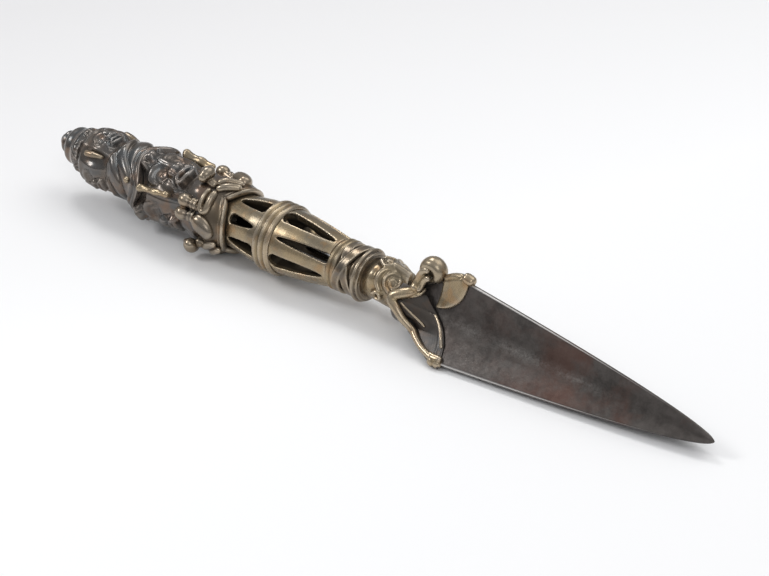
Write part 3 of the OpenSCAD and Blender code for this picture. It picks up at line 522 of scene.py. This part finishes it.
def mouth_r(x, deg):
    """Radius of the beast's mouth: round at its root and blade-shaped where it grips the iron."""
    x = np.asarray(x, float)
    blade = blade_r(x, deg)
    t = np.clip((x - MOUTH_X) / SHOULDER, 0, 1)
    t = t * t * (3 - 2 * t)
    root = 7.2 - 1.3 * np.clip(-1.5 * np.sin(np.radians(deg)), 0, 1)
    return np.maximum(root, blade) * (1 - t) + (blade + 0.05) * t


def on_mouth(rows, sides=18):
    """A rod on the mouth's surface, from rows of station, angle, height above it, width and height."""
    x, deg, lift, wide, high = curve(rows).T
    r = mouth_r(x, deg) + lift
    path = at(x, r, deg, False)
    return tube(path, at(x, r + 1, deg, False) - path, wide, high, sides)


def both_sides(shells):
    """The same shells and their mirror images across the top fin."""
    return shells + [(np.asarray(p) * (1, -1, 1), [f[::-1] for f in faces]) for p, faces in shells]


upper = [(141.5, 98, 0.6, 2.9, 2.5), (141.4, 108, 0.65, 3.0, 2.5), (141.1, 119, 0.65, 3.0, 2.5),
         (140.0, 129.5, 0.7, 3.0, 2.5), (138.2, 139, 0.75, 3.1, 2.6), (136.7, 147, 0.8, 3.2, 2.7),
         (136.2, 154, 0.9, 3.2, 2.7)]
lower = [(136.9, 161, 1.05, 3.1, 2.6), (138.6, 169, 1.35, 2.8, 2.4), (140.4, 179, 1.75, 2.5, 2.2),
         (142.4, 190, 2.2, 2.3, 2.1), (145.2, 201, 2.3, 2.2, 2.1), (149.0, 205, 2.0, 2.1, 2.0),
         (153.0, 206, 1.4, 2.1, 2.0), (155.4, 206, 1.1, 2.0, 1.9)]
inner_upper = [(143.3, 101, 0.35, 1.1, 1.1), (143.2, 111, 0.35, 1.1, 1.1), (142.8, 121, 0.35, 1.1, 1.1),
               (141.6, 131, 0.35, 1.1, 1.1), (139.8, 141, 0.4, 1.0, 1.0), (138.5, 149, 0.4, 0.9, 0.9)]
inner_lower = [(139.0, 155, 0.5, 0.8, 0.9), (141.0, 163, 0.6, 0.7, 0.8), (143.2, 171, 0.8, 0.7, 0.8),
               (145.8, 181, 1.0, 0.7, 0.8), (148.0, 190, 1.1, 0.6, 0.7)]
riser = [(141.1, -4.6, 6.7), (141.3, -3.2, 8.0), (141.6, -2.5, 9.6), (142.1, -2.3, 11.2), (143.2, -2.3, 12.9),
         (145.0, -2.2, 13.7)]
inner_riser = [(142.8, -4.4, 7.0), (143.0, -3.4, 8.2), (143.4, -2.9, 9.4), (144.3, -2.7, 10.8), (145.6, -2.7, 11.6)]
risers = [tube(curve(riser, 8), (0, -1, 0.2), [2.5, 2.5, 2.4, 2.2, 1.8], [2.3, 2.3, 2.3, 2.1, 1.6]),
          tube(curve(inner_riser, 8), (0, -1, 0.2), [1.6, 1.9, 2.0, 1.9], [1.6, 1.7, 1.7, 1.6])]
piece("lip_rolls", "rolled_lips", brass,
      fused(both_sides([on_mouth(upper + lower), on_mouth(inner_upper), on_mouth(inner_lower)] + risers), 0.16, 9))

# Trunk: the beast's snout, a fat roll that rises from the lips over the top fin and curls
# back on itself, closed in its middle. Cast with the head.
def ball(x, r, deg, d, long=1.0, wide=1.0, lifted=True):
    """A round or oval lump, its middle on the body at a radius."""
    p, q = np.meshgrid(np.linspace(0.02, math.pi - 0.02, 13), np.arange(18) * math.pi / 9, indexing="ij")
    a = math.radians(deg)
    out, side = np.array([0, math.cos(a), math.sin(a)]), np.array([0, -math.sin(a), math.cos(a)])
    middle = at(x, r, deg, lifted)
    girdle = np.cos(q)[..., None] * out + wide * np.sin(q)[..., None] * side
    return ringed(middle + d / 2 * (-long * np.cos(p)[..., None] * np.array([1, 0, 0]) + np.sin(p)[..., None] * girdle))


t = np.linspace(0, 1, 60)
turn = np.radians(205 - 290 * t)
CURL_X, CURL_R = 145.0, 12.4
curl = np.stack([CURL_X + (2.5 - 0.5 * t) * np.cos(turn), 0 * t, CURL_R + (2.5 - 0.5 * t) * np.sin(turn)], -1)
foot = curve([(139.2, 0, 7.6), (140.6, 0, 8.8), (142.0, 0, 10.4), tuple(curl[0])], 8)[:-1]
trunk_path = np.vstack([foot, curl])
trunk_wide = [4.0, 4.4, 4.8, 5.3, 5.3, 5.0, 4.6, 4.0]
trunk_high = [3.4, 3.6, 4.0, 4.3, 4.2, 3.9, 3.5, 3.0]
ridge = trunk_path[8:74]
folds = [tube(ridge + np.array([0, s * 1.5, 0]) + 0.16 * (ridge - np.array([CURL_X, 0, CURL_R])),
              (0, 1, 0), 1.2, 1.3) for s in (-1, 1)]
piece("trunk_roll", "trunk_curl", brass,
      fused([tube(trunk_path, (0, 1, 0), trunk_high, trunk_wide), ball(CURL_X, 12.3, TOP_FIN, 3.6, 1.0, 0.8, False)]
            + folds, 0.16, 9))

# Lower jaw: thin leaves of metal that lie along the blade under the lips, with a raised rim. Cast with the head and
# hammered close to the iron, dark with patina and darkened further with painted shade, for they lie in the hollow under
# the lips.
def plate(outer, inner):
    """A thin solid between two skins of the same rows and columns."""
    m, n = outer.shape[:2]
    i, j = np.meshgrid(np.arange(m - 1), np.arange(n - 1), indexing="ij")
    a = i * n + j
    quads = np.stack([a, a + 1, a + n + 1, a + n], -1).reshape(-1, 4)
    rim = np.concatenate([np.arange(n), n * np.arange(1, m) + n - 1, (m - 1) * n + np.arange(n - 2, -1, -1),
                          n * np.arange(m - 2, 0, -1)])
    step = np.roll(rim, -1)
    edge = np.stack([rim, rim + m * n, step + m * n, step], -1)
    points = np.vstack([outer.reshape(-1, 3), inner.reshape(-1, 3)])
    return points, quads.tolist() + (quads[:, ::-1] + m * n).tolist() + edge.tolist()


patina = alloy("dark_patina", (0.040, 0.035, 0.032), (0.145, 0.125, 0.108), (0.44, 0.39, 0.35),
               [(0.105, 0.110, 0.112), (0.200, 0.132, 0.090)], 0.21, 0.45)
JAW_X, LEFT_VALLEY, RIGHT_VALLEY, PAST = 158.0, TOP_FIN + 60, TOP_FIN + 300, 36
v, deg = np.meshgrid(np.linspace(0, 1, 110), np.linspace(LEFT_VALLEY - PAST, RIGHT_VALLEY + PAST, 520), indexing="ij")
beyond = np.maximum(np.maximum(LEFT_VALLEY - deg, deg - RIGHT_VALLEY), 0)
far = np.where(beyond > 0, 150.02 - 0.14 * beyond, JAW_X - 7.98 * np.abs(off_fin(deg)) / 60)
x = MOUTH_X - 0.4 + (far - MOUTH_X + 0.4) * v
left = far - x
rim = (0.2 * np.exp(-((left - 0.55) / 0.5) ** 2) + 0.1 * np.exp(-((left - 1.9) / 0.3) ** 2)) * (beyond == 0)
thin = 0.19 * (beyond > 0) * np.clip(1 - left / 3, 0, 1)
fall = np.where(beyond > 0, 0, np.clip((60 - np.abs(off_fin(deg))) / 26, 0, 1))
grain = 0.006 * np.sin(left * 6.5 + 0.35 * np.sin(off_fin(deg) * 0.2)) * np.clip((left - 1.2) / 2, 0, 1)
top = mouth_r(x, deg) + 0.25 - thin + 0.65 * np.sqrt(fall) + grain + rim
# The leaves carry a painted shade mark of 0.62 all over.
piece("jaw_leaves", "lower_jaw", patina,
      plate(at(x, top, deg, False), at(x, mouth_r(x, deg) + 0.03, deg, False)),
      [("painted_shade", np.full(2 * x.size, 0.62))])

# Knobs: the rolled ends of the jaw, cast with it and hooked over the two lower fins.
# They carry the blade's end when the dagger lies down.
def rod(rows, sides=18, lifted=True):
    """A rod over the round body, from rows of station, radius, angle, width and height."""
    x, r, deg, wide, high = curve(rows).T
    path = at(x, r, deg, lifted)
    return tube(path, at(x, r + 1, deg, lifted) - path, wide, high, sides)


knobs = both_sides([on_mouth([(149.4, 150, 0.4, 0.8, 0.7), (151.4, 165, 0.85, 0.95, 0.8), (153.2, 178, 1.15, 1.0, 0.9),
                              (154.8, 190, 1.2, 1.1, 1.0), (156.2, 199, 1.1, 1.2, 1.1)], 12)])
for k in (1, 2):
    fin = TOP_FIN + 120 * k
    knobs += [ball(155.0, 13.6, fin, 3.2, 1.0, 1.0, False), ball(156.7, 13.6, fin, 3.0, 1.0, 1.0, False)]
    for side in (-1, 1):
        knobs.append(rod([(152.6, 12.6, fin + 5 * side, 1.3, 1.8), (154.6, 12.85, fin + 4.5 * side, 1.7, 2.3),
                          (156.6, 12.85, fin + 5 * side, 1.7, 2.3), (158.0, 12.6, fin + 6 * side, 1.2, 1.6)],
                         14, False))
piece("jaw_scrolls", "jaw_knobs", brass, fused(knobs))

# Cheek pads: a pad folded over the top fin and down both its flanks, with a ridge along
# the fold and a scroll at its end. They lock the head on the blade. Cast with the head.
def square_to_blade(x, deg):
    """Direction square to the mouth's surface, in the plane of a section."""
    p, q = at(x, mouth_r(x, deg - 0.4), deg - 0.4, False), at(x, mouth_r(x, deg + 0.4), deg + 0.4, False)
    d = q - p
    n = np.stack([0 * d[..., 0], d[..., 2], -d[..., 1]], -1)
    return n / np.linalg.norm(n, axis=-1)[..., None]


PAD_X, PAD_ACROSS = 148.8, 38.5
s, q = np.meshgrid(np.linspace(0, 1, 90), np.linspace(0, 1, 110), indexing="ij")
deg = TOP_FIN + 0.5 + PAD_ACROSS * q
reach = 0.7 + 8.2 * (1 - q ** 1.5) ** 0.85
x = PAD_X + reach * s
edge = np.minimum(np.minimum(s, 1 - s) * reach, (1 - q) * 7)
rounded = np.clip(1 - (1 - np.clip(edge / 1.3, 0, 1)) ** 2, 0, 1) ** 0.5
high = 0.28 + 0.9 * rounded * (0.75 + 0.25 * np.sin(math.pi * s))
skin = at(x, mouth_r(x, deg), deg, False)
out = square_to_blade(x, deg)
flap = plate(skin + out * high[..., None], skin + out * 0.03)
pads = both_sides([flap])
pads += [rod([(155.1, 14.7, TOP_FIN, 2.8, 2.6), (156.4, 14.85, TOP_FIN, 3.3, 3.2), (158.0, 14.55, TOP_FIN, 3.2, 3.0),
              (159.2, 14.1, TOP_FIN, 2.4, 2.2)], 20, False),
         rod([(148.9, 11.6, TOP_FIN, 2.0, 2.0), (150.4, 12.7, TOP_FIN, 2.2, 2.2), (152.6, 13.9, TOP_FIN, 2.2, 2.2),
              (155.8, 14.7, TOP_FIN, 2.4, 2.4)], 14, False)]
piece("pad_leaves", "cheek_pads", brass, fused(pads, 0.14, 4))

# Knotted neck: a round core under the knot, with a hoop and a thinner one before the beast's head. Cast in one with the
# hilt, and darker than the grip, for it takes the shaded copy of the brass, which is painted shade.
# A darker copy of the worn brass, used for the knot, straps, petals, arms, legs and small ear pendants: painted shade.
shaded_brass = alloy("brass_in_painted_shade", (0.042, 0.035, 0.028), (0.185, 0.143, 0.096), (0.62, 0.53, 0.41),
               [(0.125, 0.108, 0.092), (0.225, 0.145, 0.080)], 0.22, 0.6)
KNOT_X, KNOT_LONG, CORE_R, FRONT = 114.6, 9.2, 6.5, 143


def hoop(middle, lean, r, wide, high, front=FRONT, square=0.7):
    """A ring round the neck, leaning so that it crosses another one at the front."""
    deg = np.linspace(0, 360, 180, endpoint=False)
    x = middle + lean * np.sin(np.radians(deg - front))
    q = np.arange(24) * math.pi / 12
    across, up = (np.sign(c) * np.abs(c) ** square for c in (np.cos(q), np.sin(q)))
    rings = at(x[:, None] + wide / 2 * across, r + high / 2 * up, deg[:, None])
    return ringed(rings[:, ::-1], closed=True)


v, deg = grid(KNOT_X, HEAD_X + 0.4, 6.2)
x = KNOT_X - 0.2 + KNOT_LONG * v
core = ringed(at(x, CORE_R + 0.08 * np.sin(x * 4), deg))
piece("knot_core_skin", "knot_core", shaded_brass,
      fused([core, hoop(121.45, 0.35, 7.15, 1.5, 1.8, 53, 1.0), hoop(122.75, 0.2, 6.7, 0.9, 1.3, 53, 1.0)]))

# Straps: two flat straps with raised borders, crossed over the neck in front and behind.
# They imitate a tied cord, but are cast in one with the core.
STRAP_X, LEAN = 117.15, 2.45
straps = []
for way, r in ((LEAN, 6.75), (-LEAN, 7.02)):
    straps += [hoop(STRAP_X, way, r, 2.9, 1.3)]
    straps += [hoop(STRAP_X + s, way, r + 0.42, 0.7, 0.6, square=1.0) for s in (-1.05, 1.05)]
piece("knot_cord_skin", "knot_straps", shaded_brass, fused(straps, 0.16, 9))

# Neck ring: two rounded hoops where the openwork grip is gathered in. Cast in one with
# the grip.
RING_X = 111.8
v, deg = grid(RING_X - 0.3, KNOT_X + 0.2, 7.4, 0.13)
x = RING_X - 0.3 + (KNOT_X - RING_X + 0.5) * v
r = 6.85 + 0.82 * np.abs(np.sin(math.pi * 2 * v)) ** 0.7 + 0.06 * np.sin(np.radians(deg * 2 + 30))
piece("ring_hoops", "neck_ring", brass, ringed(at(x, r, deg)))


# Grip: an openwork spindle of eight bars with teardrop windows between them, cut through
# the wax before casting, so every edge is soft. One window at the back is cut short. The
# hand has worn the bars bright.
CAGE_X, CAGE_LONG = 69.0, 43


def straightened(mesh):
    """The points of a mesh that lies in place, in the straight dagger's own mm."""
    x, y, z = (np.array([p.co for p in mesh.vertices], float) * 1000 - FINIAL).T
    return np.stack([x * math.cos(TILT) - z * math.sin(TILT), y, x * math.sin(TILT) + z * math.cos(TILT)], -1)


def of_node(node):
    """The shape of a solid of the frame."""
    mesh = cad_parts[node].data
    return straightened(mesh), [list(p.vertices) for p in mesh.polygons]


def cage_lift(x):
    """How far the grip's middle rises, a little less than the neck's."""
    return 0.72 * bow(x) + 0.05 * (x - CAGE_X) / CAGE_LONG


def full_r(x):
    """Outer radius of the grip."""
    return np.interp(x, [CAGE_X, 80, 86, 92.5, 102, RING_X], [7.8, 9.3, 9.7, 9.7, 9.0, 7.4])


shell, faces = of_node("cage")
lift = cage_lift(shell[:, 0])
r = np.hypot(shell[:, 1], shell[:, 2] - lift)
deeper = 1 - 2.0 * np.clip((full_r(shell[:, 0]) - 1.1 - r) / 0.6, 0, 1) / r
shell = np.stack([shell[:, 0], shell[:, 1] * deeper, (shell[:, 2] - lift) * deeper + lift], -1)
web = rod([(93.6, 8.6, 327, 1.0, 2.4), (96.6, 8.4, 327, 1.3, 4.2), (99.4, 8.2, 327, 1.3, 5.0),
           (102.4, 8.0, 326, 1.0, 5.2)], 20)
bars = fused([(shell, faces), web], 0.13, 40)
x, y, z = straightened(bars).T
r = np.hypot(y, z - cage_lift(x))
# Points sunk below the grip's outer surface are darkened: inside it, down the windows' sides and on the web. This is
# painted shade.
piece("grip_bars", "cage", brass, bars, [("painted_shade", np.clip((full_r(x) - 0.75 - r) / 0.9, 0, 1))])

# Grip band: a ridged band round the widest part of the spindle, where the windows of
# both halves end. Cast in one with the bars, as a rest for the fingers.
piece("grip_band", "cage_band", brass, fused([of_node("cage_band")], 0.16, 4))

# Petal collar: three broad lotus petals that spread from under the legs over the grip's
# end, with a doubled rim. Cast thin, as a skirt.
PETAL_X, PETAL_LONG, PETAL_DIP, PETAL_R, LARGE_ROLL = 67.0, 7.8, 3.4, 10.1, 107.0
v, deg = np.meshgrid(np.linspace(0, 1, 60), np.arange(0, 360, 0.9), indexing="ij")
off = off_third(deg, LARGE_ROLL + 71)
petal = np.maximum(np.cos(np.radians(1.5 * off)), 0) ** 0.7
length = PETAL_LONG - PETAL_DIP * (1 - petal)
x = PETAL_X + length * v
mid = PETAL_R - 0.3 * v + 0.5 * np.sin(math.pi * v) - 0.4 * (1 - petal) * v - 0.55 * v ** 2
left = length * (1 - v)
outer = mid + 0.42 + 0.5 * np.exp(-((left - 0.45) / 0.42) ** 2) + 0.16 * np.exp(-((left - 1.5) / 0.26) ** 2)
# The petals darken away from their rims towards their roots under the legs, and all over their undersides: painted
# shade.
shade = 0.5 * np.clip((left - 1.2) / 1.6, 0, 1)
piece("petal_skirt", "petal_collar", shaded_brass,
      ringed(np.concatenate([at(x, outer, deg), at(x[::-1], mid[::-1] - 1.0, deg)]), closed=True),
      [("painted_shade", np.concatenate([shade, 0.7 + 0 * shade]))])

# Torso: the draped chest between heads and legs, cast with them. Its folds are darker, partly grime and partly painted
# shade.
TORSO_X, CHEST_R = 57.0, 9.0
v, deg = grid(TORSO_X - 0.3, CAGE_X, 9.6, 0.2)
x = TORSO_X - 0.3 + (CAGE_X - TORSO_X + 0.3) * v
off = off_third(deg, LARGE_ROLL + 19)
risen = np.minimum(v * 1.2, 1)
r = CHEST_R + 0.6 * risen + np.sin(math.pi * risen) * (0.8 + 1.1 * np.exp(-(off / 18) ** 2))
r = r + 0.12 * np.sin(np.radians(deg * 9) + x * 1.1) * (1 - np.exp(-(off / 22) ** 2)) * np.clip((62 - x) / 3, 0, 1)
piece("chest_cloth", "torso", patina, ringed(at(x, r, deg)))


# Arms: on each side two fat fists side by side with cuffs behind them, and an arm folded
# in a loop. Modelled in wax over the chest; the fists stand out and are rubbed bright.
def thrice(shells):
    """The same shells on all three sides of the dagger."""
    out = []
    for k in range(3):
        c, s = math.cos(k * 2 * math.pi / 3), math.sin(k * 2 * math.pi / 3)
        for p, f in shells:
            p = np.asarray(p)
            y, z = p[:, 1], p[:, 2] - bow(p[:, 0])
            out.append((np.stack([p[:, 0], y * c - z * s, y * s + z * c + bow(p[:, 0])], -1), f))
    return out


FISTS, FIST_X, FIST_R = (150, 171), 59.6, 10.72
arms = []
for fist in FISTS:
    arms += [ball(FIST_X, FIST_R, fist, 4.0, 1.2, 1.05),
             rod([(59.5, 10.6, fist, 3.4, 3.2), (62.4, 10.15, fist + 1, 3.1, 2.9), (65.6, 9.5, fist + 3, 2.6, 2.2)])]
    for k in range(2):
        arms.append(rod([(62.6 + 1.1 * k, 9.9, fist - 9, 1.0, 1.2),
                         (62.5 + 1.1 * k, 10.95 - 0.15 * k, fist - 5, 1.1, 1.2),
                         (62.5 + 1.1 * k, 11.25 - 0.15 * k, fist + 1, 1.1, 1.2),
                         (62.6 + 1.1 * k, 10.8, fist + 7.5, 1.1, 1.2)], 14))
arms.append(rod([(65.6, 10.4, 116, 1.7, 2.6), (65.5, 10.7, 130, 1.8, 2.8), (65.5, 10.6, 144, 1.9, 2.7),
                 (65.9, 10.5, 151.5, 2.1, 2.6), (66.9, 10.5, 154.5, 2.2, 2.6), (67.7, 10.5, 151.5, 2.3, 2.6),
                 (68.0, 10.6, 144, 2.4, 2.7), (67.9, 10.7, 130, 2.4, 2.8), (67.7, 10.4, 116, 2.2, 2.6)], 24))
piece("fists_and_arms", "arms", shaded_brass, fused(thrice(arms), 0.16, 10))

# Legs: on each side a thick bent leg, two shins laid across the petals, and a rounded
# foot that stands clear of the chest. Cast with the rest.
legs = [rod([(64.4, 10.4, 168, 3.2, 3.2), (65.4, 10.6, 170, 4.4, 4.2), (67.0, 10.8, 174, 5.4, 4.6),
             (68.8, 10.8, 179, 5.2, 4.4), (70.4, 10.6, 186, 4.2, 3.8), (71.4, 10.4, 191, 2.6, 2.6)], 26)]
for lead in (0, 1):
    turn = LARGE_ROLL - 11 * lead
    legs.append(rod([(67.4 - 1.6 * lead, 10.7, turn + 8, 1.9, 2.2), (69.6 - 1.5 * lead, 11.3, turn - 2, 2.4, 2.4),
                     (73.4 - lead, 10.9, turn - 17, 2.0, 2.0)], 20))
foot = LARGE_ROLL - 6
legs += [ball(62.1, 12.75, foot + 1, 4.3, 1.0, 1.25), ball(62.0, 12.5, foot + 8, 3.4, 1.0, 1.0),
         rod([(62.4, 10.6, foot + 2, 3.0, 3.0), (64.0, 10.8, foot + 4, 2.8, 2.8), (66.4, 10.2, foot + 6, 2.6, 2.4)])]
for k in range(3):
    legs.append(ball(60.6 + 0.1 * k, 12.5 + 0.3 * k, foot - 4.5 + 4.2 * k, 1.5))
piece("legs_and_feet", "legs", shaded_brass, fused(thrice(legs), 0.16, 9))


# Large heads: three fierce faces back to back, with heavy brows, a third eye, bulging
# eyes and a bared mouth. Worked in wax from a common pattern and cast with the hilt.
def fierce_face(x, w, base, start, s):
    """Lays one face over a skull: x runs from the hairline to the chin and w across it, in mm."""
    u, w = (x - start) / s, np.abs(w) / s
    r = base + s * (swell(u, w, 3.0, 0, 2.8, 5.0, 0.5) + swell(u, w, 6.4, 3.6, 1.7, 3.8, 0.75)
                    - swell(u, w, 9.0, 3.7, 1.5, 2.2, 0.4) + swell(u, w, 11.9, 5.9, 2.7, 2.8, 1.05)
                    + swell(u, w, 14.2, 0, 2.8, 4.0, 0.6) + swell(u, w, 17.0, 0, 1.8, 3.2, 0.6)
                    + swell(u, w, 9.6, 10.3, 5.2, 2.1, 1.45))
    for high, soft in (
            (dome(u, w, 8.8, 3.7, 1.25, 1.8, 0.6), 0.35),  # eye
            (stroke(u, w, [(9.0, 1.6), (7.8, 2.5), (7.4, 3.9), (7.9, 5.4), (9.2, 6.1)], 1.0, 0.45), 0.5),
            (stroke(u, w, [(7.0, 1.0), (6.0, 2.2), (5.5, 4.2), (5.9, 6.2), (7.2, 7.4)], (2.6, 1.8), 0.8), 0.9),
            (stroke(u, w, [(5.6, 0), (8.0, 0), (10.6, 0)], (2.0, 3.6), 1.7), 1.0),
            (dome(u, w, 11.0, 1.8, 1.5, 1.4, 1.15), 0.6),
            (stroke(u, w, [(13.5, 0), (13.3, 1.6), (13.7, 3.0), (14.6, 4.0)], (1.6, 1.1), 0.65), 0.6),
            (stroke(u, w, [(15.5, 0), (15.4, 1.6), (15.2, 3.0), (14.8, 4.0)], (1.6, 1.1), 0.65), 0.6)):
        r = over(r, base + high * s, soft * s)
    r = r + s * crease(u, w, [(10.8, 3.2), (12.4, 4.5), (14.4, 5.8)], 1.2, 0.25)
    r = r + s * crease(u, w, [(14.5, -0.5), (14.4, 1.8), (14.7, 3.4)], 0.9, 0.22)
    for k in range(2):
        r = r + s * crease(u, w, [(12.6 + 1.1 * k, 5.6 + 1.1 * k), (14.0 + 0.9 * k, 6.2 + 1.0 * k),
                                  (15.4 + 0.6 * k, 5.4 + 0.9 * k)], 0.8, -0.2)
    return r - 0.15 * s * np.exp(-((u - 8.8) / 0.4) ** 2 - ((w - 3.6) / 0.4) ** 2)


def around(deg, roll, r):
    """Distance across the nearest of three faces, in mm."""
    return np.radians(off_third(deg, roll)) * r


def swing(deg):
    """The hairline's wave: 1 over each large face and -1 at the ears."""
    return np.cos(np.radians(3 * (deg - LARGE_ROLL)))


LARGE_X, LARGE_SIZE, WAVE = 39.5, 1.06, 1.9
v, deg = grid(LARGE_X, TORSO_X, 10.4, 0.15)
x = LARGE_X - WAVE * swing(deg) * (1 - v) + (TORSO_X + 0.4 - LARGE_X) * v
brow = (0.95 + 0.35 * swing(deg)) * np.exp(-((v - 0.18) / 0.17) ** 2)
ears = 0.3 * (1 - swing(deg)) * np.exp(-(v / 0.1) ** 2)
chin = 2.0 * np.maximum(0, (v - 0.5) / 0.5) ** 2.4
base = np.where(v < 0.5, 10.2 + 1.0 * np.minimum(1, v / 0.2), 11.2 - chin)
base = base + brow + ears
w = around(deg, LARGE_ROLL, 11.0)
r = fierce_face(x, w, base, LARGE_X - 1.6, LARGE_SIZE)
for line in (dome(x, w, 39.5, 0, 1.8, 1.7, 0.9),
             stroke(x, np.abs(w), [(38.8, 1.4), (39.1, 2.9), (40.2, 3.4)], (1.7, 1.1), 0.6)):
    r = over(r, base + line, 0.7)
piece("large_faces", "large_heads", patina, ringed(at(x, r, deg)))

# Ear pendants: a slender ear drawn down between the faces, with a bead at each end and
# one in its middle. Cast with the heads and rubbed bright, because they stand out.
drop = LARGE_ROLL + 54
drops = [rod([(41.9, 10.9, drop + 0.5, 1.9, 2.8), (43.1, 11.1, drop, 2.5, 3.4), (44.4, 11.0, drop - 0.8, 2.0, 3.0),
              (46.6, 11.0, drop - 2.2, 1.7, 2.7), (48.7, 11.2, drop - 3.5, 2.1, 3.0),
              (50.6, 11.0, drop - 5.0, 1.7, 2.7), (52.4, 10.9, drop - 6.6, 2.0, 3.0),
              (53.9, 10.6, drop - 7.4, 1.7, 2.6)], 24),
         ball(43.0, 11.6, drop, 2.5), ball(48.6, 11.75, drop - 3.5, 1.9, 1.5, 0.95),
         ball(52.6, 11.45, drop - 6.8, 2.0, 1.3, 1.0)]
piece("large_ear_drops", "ear_pendants", brass, fused(thrice(drops), 0.1, 30))

# Hair band: the large heads' bound hair, two smooth rolls that rise over each face and
# dip at the ears. Cast with the heads.
HAIR_X = 35.5
v, deg = grid(HAIR_X, LARGE_X, 9.8, 0.12)
x = HAIR_X - WAVE * swing(deg) + (LARGE_X - HAIR_X) * v
rolls = 0.68 * np.abs(np.sin(2 * math.pi * v)) ** 0.85
r = 8.65 - 0.6 * swing(deg) * (1 - v ** 0.6) + (1.75 - 0.25 * swing(deg)) * v ** 0.6 + rolls
piece("plaited_hair", "hair_band", patina, ringed(at(x, r, deg)))

# Scarf: a strip of cloth wound round the necks, in broad slanting folds that end in
# points under the small heads. Modelled in wax, cast dark.
SCARF_X, SMALL_ROLL, FOLD = 25.3, 94.0, 0.75
v, deg = grid(SCARF_X, HAIR_X, 8.4, 0.14)
x = SCARF_X + (HAIR_X - SCARF_X + 0.2 - WAVE * swing(deg)) * v
turn = deg - 120 * v + 19
phase = (turn / 60) % 1.0
hem = SCARF_X + 0.2 + 2.4 * np.clip((60 - np.abs(off_third(deg, SMALL_ROLL))) / 60, 0, 1)
start = 1 / (1 + np.exp(-(x - hem) / 0.2))
fold = FOLD * np.sin(math.pi * np.clip(phase / 0.92, 0, 1) ** 0.62) - 0.3
r = 8.0 + 0.8 * np.sin(math.pi / 2 * np.minimum(1, v / 0.3)) - 0.6 * v * swing(deg)
fold = fold + 0.2 * np.exp(-((x - hem - 0.6) / 0.55) ** 2)
r = r + fold * start * np.minimum(1, (1 - v) / 0.08) - 0.25 * (1 - start)
piece("scarf_folds", "scarf", patina, ringed(at(x, r, deg)))

# Studs: a smooth round boss where the scarf meets the hair, one below each ear. Cast
# with the scarf and rubbed bright.
piece("stud_bosses", "scarf_studs", brass,
      fused(thrice([ball(35.97, 9.8, LARGE_ROLL + 55, 2.1)]), 0.1, 16))

# Small heads: three smaller fierce faces under the finial, modelled in wax on the same
# pattern as the large ones and cast with them.
SMALL_X, SMALL_SIZE = 12.9, 0.66
v, deg = grid(SMALL_X, SCARF_X, 9, 0.12)
x = SMALL_X - 0.2 + (SCARF_X - SMALL_X + 0.5) * v
chin = 1.6 * np.maximum(0, (v - 0.5) / 0.5) ** 2.4
base = np.where(v < 0.5, 7.9 + 1.75 * np.minimum(1, v / 0.2) ** 0.8, 9.65 - chin)
base = base + 0.3 * np.exp(-((v - 0.18) / 0.17) ** 2)
w = around(deg, SMALL_ROLL, 9.6)
r = fierce_face(x, w, base, SMALL_X + 1.0, SMALL_SIZE)
piece("small_faces", "small_heads", patina, ringed(at(x, r, deg)))

# Small ear pendants: a tapering drop with a bead near its top, between each two small
# faces. Cast with the heads and rubbed a little.
drop = SMALL_ROLL + 55
drops = [ball(18.5, 9.5, drop, 2.1),
         rod([(17.7, 8.9, drop + 0.3, 1.7, 2.4), (18.7, 9.1, drop - 0.2, 2.1, 2.9), (20.4, 9.1, drop - 1.5, 2.1, 2.8),
              (22.4, 8.9, drop - 3, 1.6, 2.4), (24.2, 8.6, drop - 4.4, 1.2, 2.0)], 22)]
piece("small_ear_drops", "small_ear_pendants", shaded_brass, fused(thrice(drops), 0.1, 26))

# Diadem: a ringed fillet with a pointed leaf over each face and each ear. It is cast between the small heads and the
# topknot.
DIADEM_X, DIADEM_LONG, EAR_W = 9.5, 3.7, 7.85
v, deg = grid(DIADEM_X, SMALL_X, 7.7, 0.12)
x = DIADEM_X - 0.2 + DIADEM_LONG * v
w = around(deg, SMALL_ROLL, 7.5)
base = 6.45 + 0.95 * np.sin(np.radians(150 * np.clip(v, 0, 1)))
r = base + 0.06 * np.sin(2 * math.pi * x / 0.8) * np.clip((12.0 - x) / 0.5, 0, 1)
for high in (stroke(x, np.abs(w), [(12.8, 2.2), (11.3, 1.6), (9.9, 0)], (1.3, 0.9), 0.55),
             dome(x, w, 11.9, 0, 1.5, 1.2, 0.6),
             stroke(x, np.abs(w), [(13.2, 5.0), (11.6, 6.4), (10.0, EAR_W)], (1.7, 1.2), 0.9),
             dome(x, np.abs(w), 12.4, EAR_W, 2.0, 1.6, 0.9)):
    r = over(r, base + high, 0.3)
piece("diadem_leaves", "diadem", patina, ringed(at(x, r, deg)))

# Topknot: the hair bound up in broad coils under a round knob, turned in wax and cast
# with the rest.
TOPKNOT_R = 6.35
v, deg = np.meshgrid(np.linspace(0, 1, 110), np.arange(0, 360, 1.2), indexing="ij")
x = (DIADEM_X + 0.2) * v ** 1.4
along = x - 0.35 * np.sin(np.radians(deg - FRONT)) * np.sin(math.pi * v)
r = TOPKNOT_R * v ** 0.87 + 0.42 * np.exp(-((along - 0.8) / 0.55) ** 2) * np.minimum(1, x / 0.4)
for middle, wide, high in ((2.5, 0.85, 0.6), (6.1, 1.6, 0.85), (3.9, 0.5, -0.25)):
    r = r + high * np.exp(-((along - middle) / wide) ** 2)
piece("coiled_topknot", "topknot", patina, ringed(at(x, np.maximum(r, 0.02), deg)))
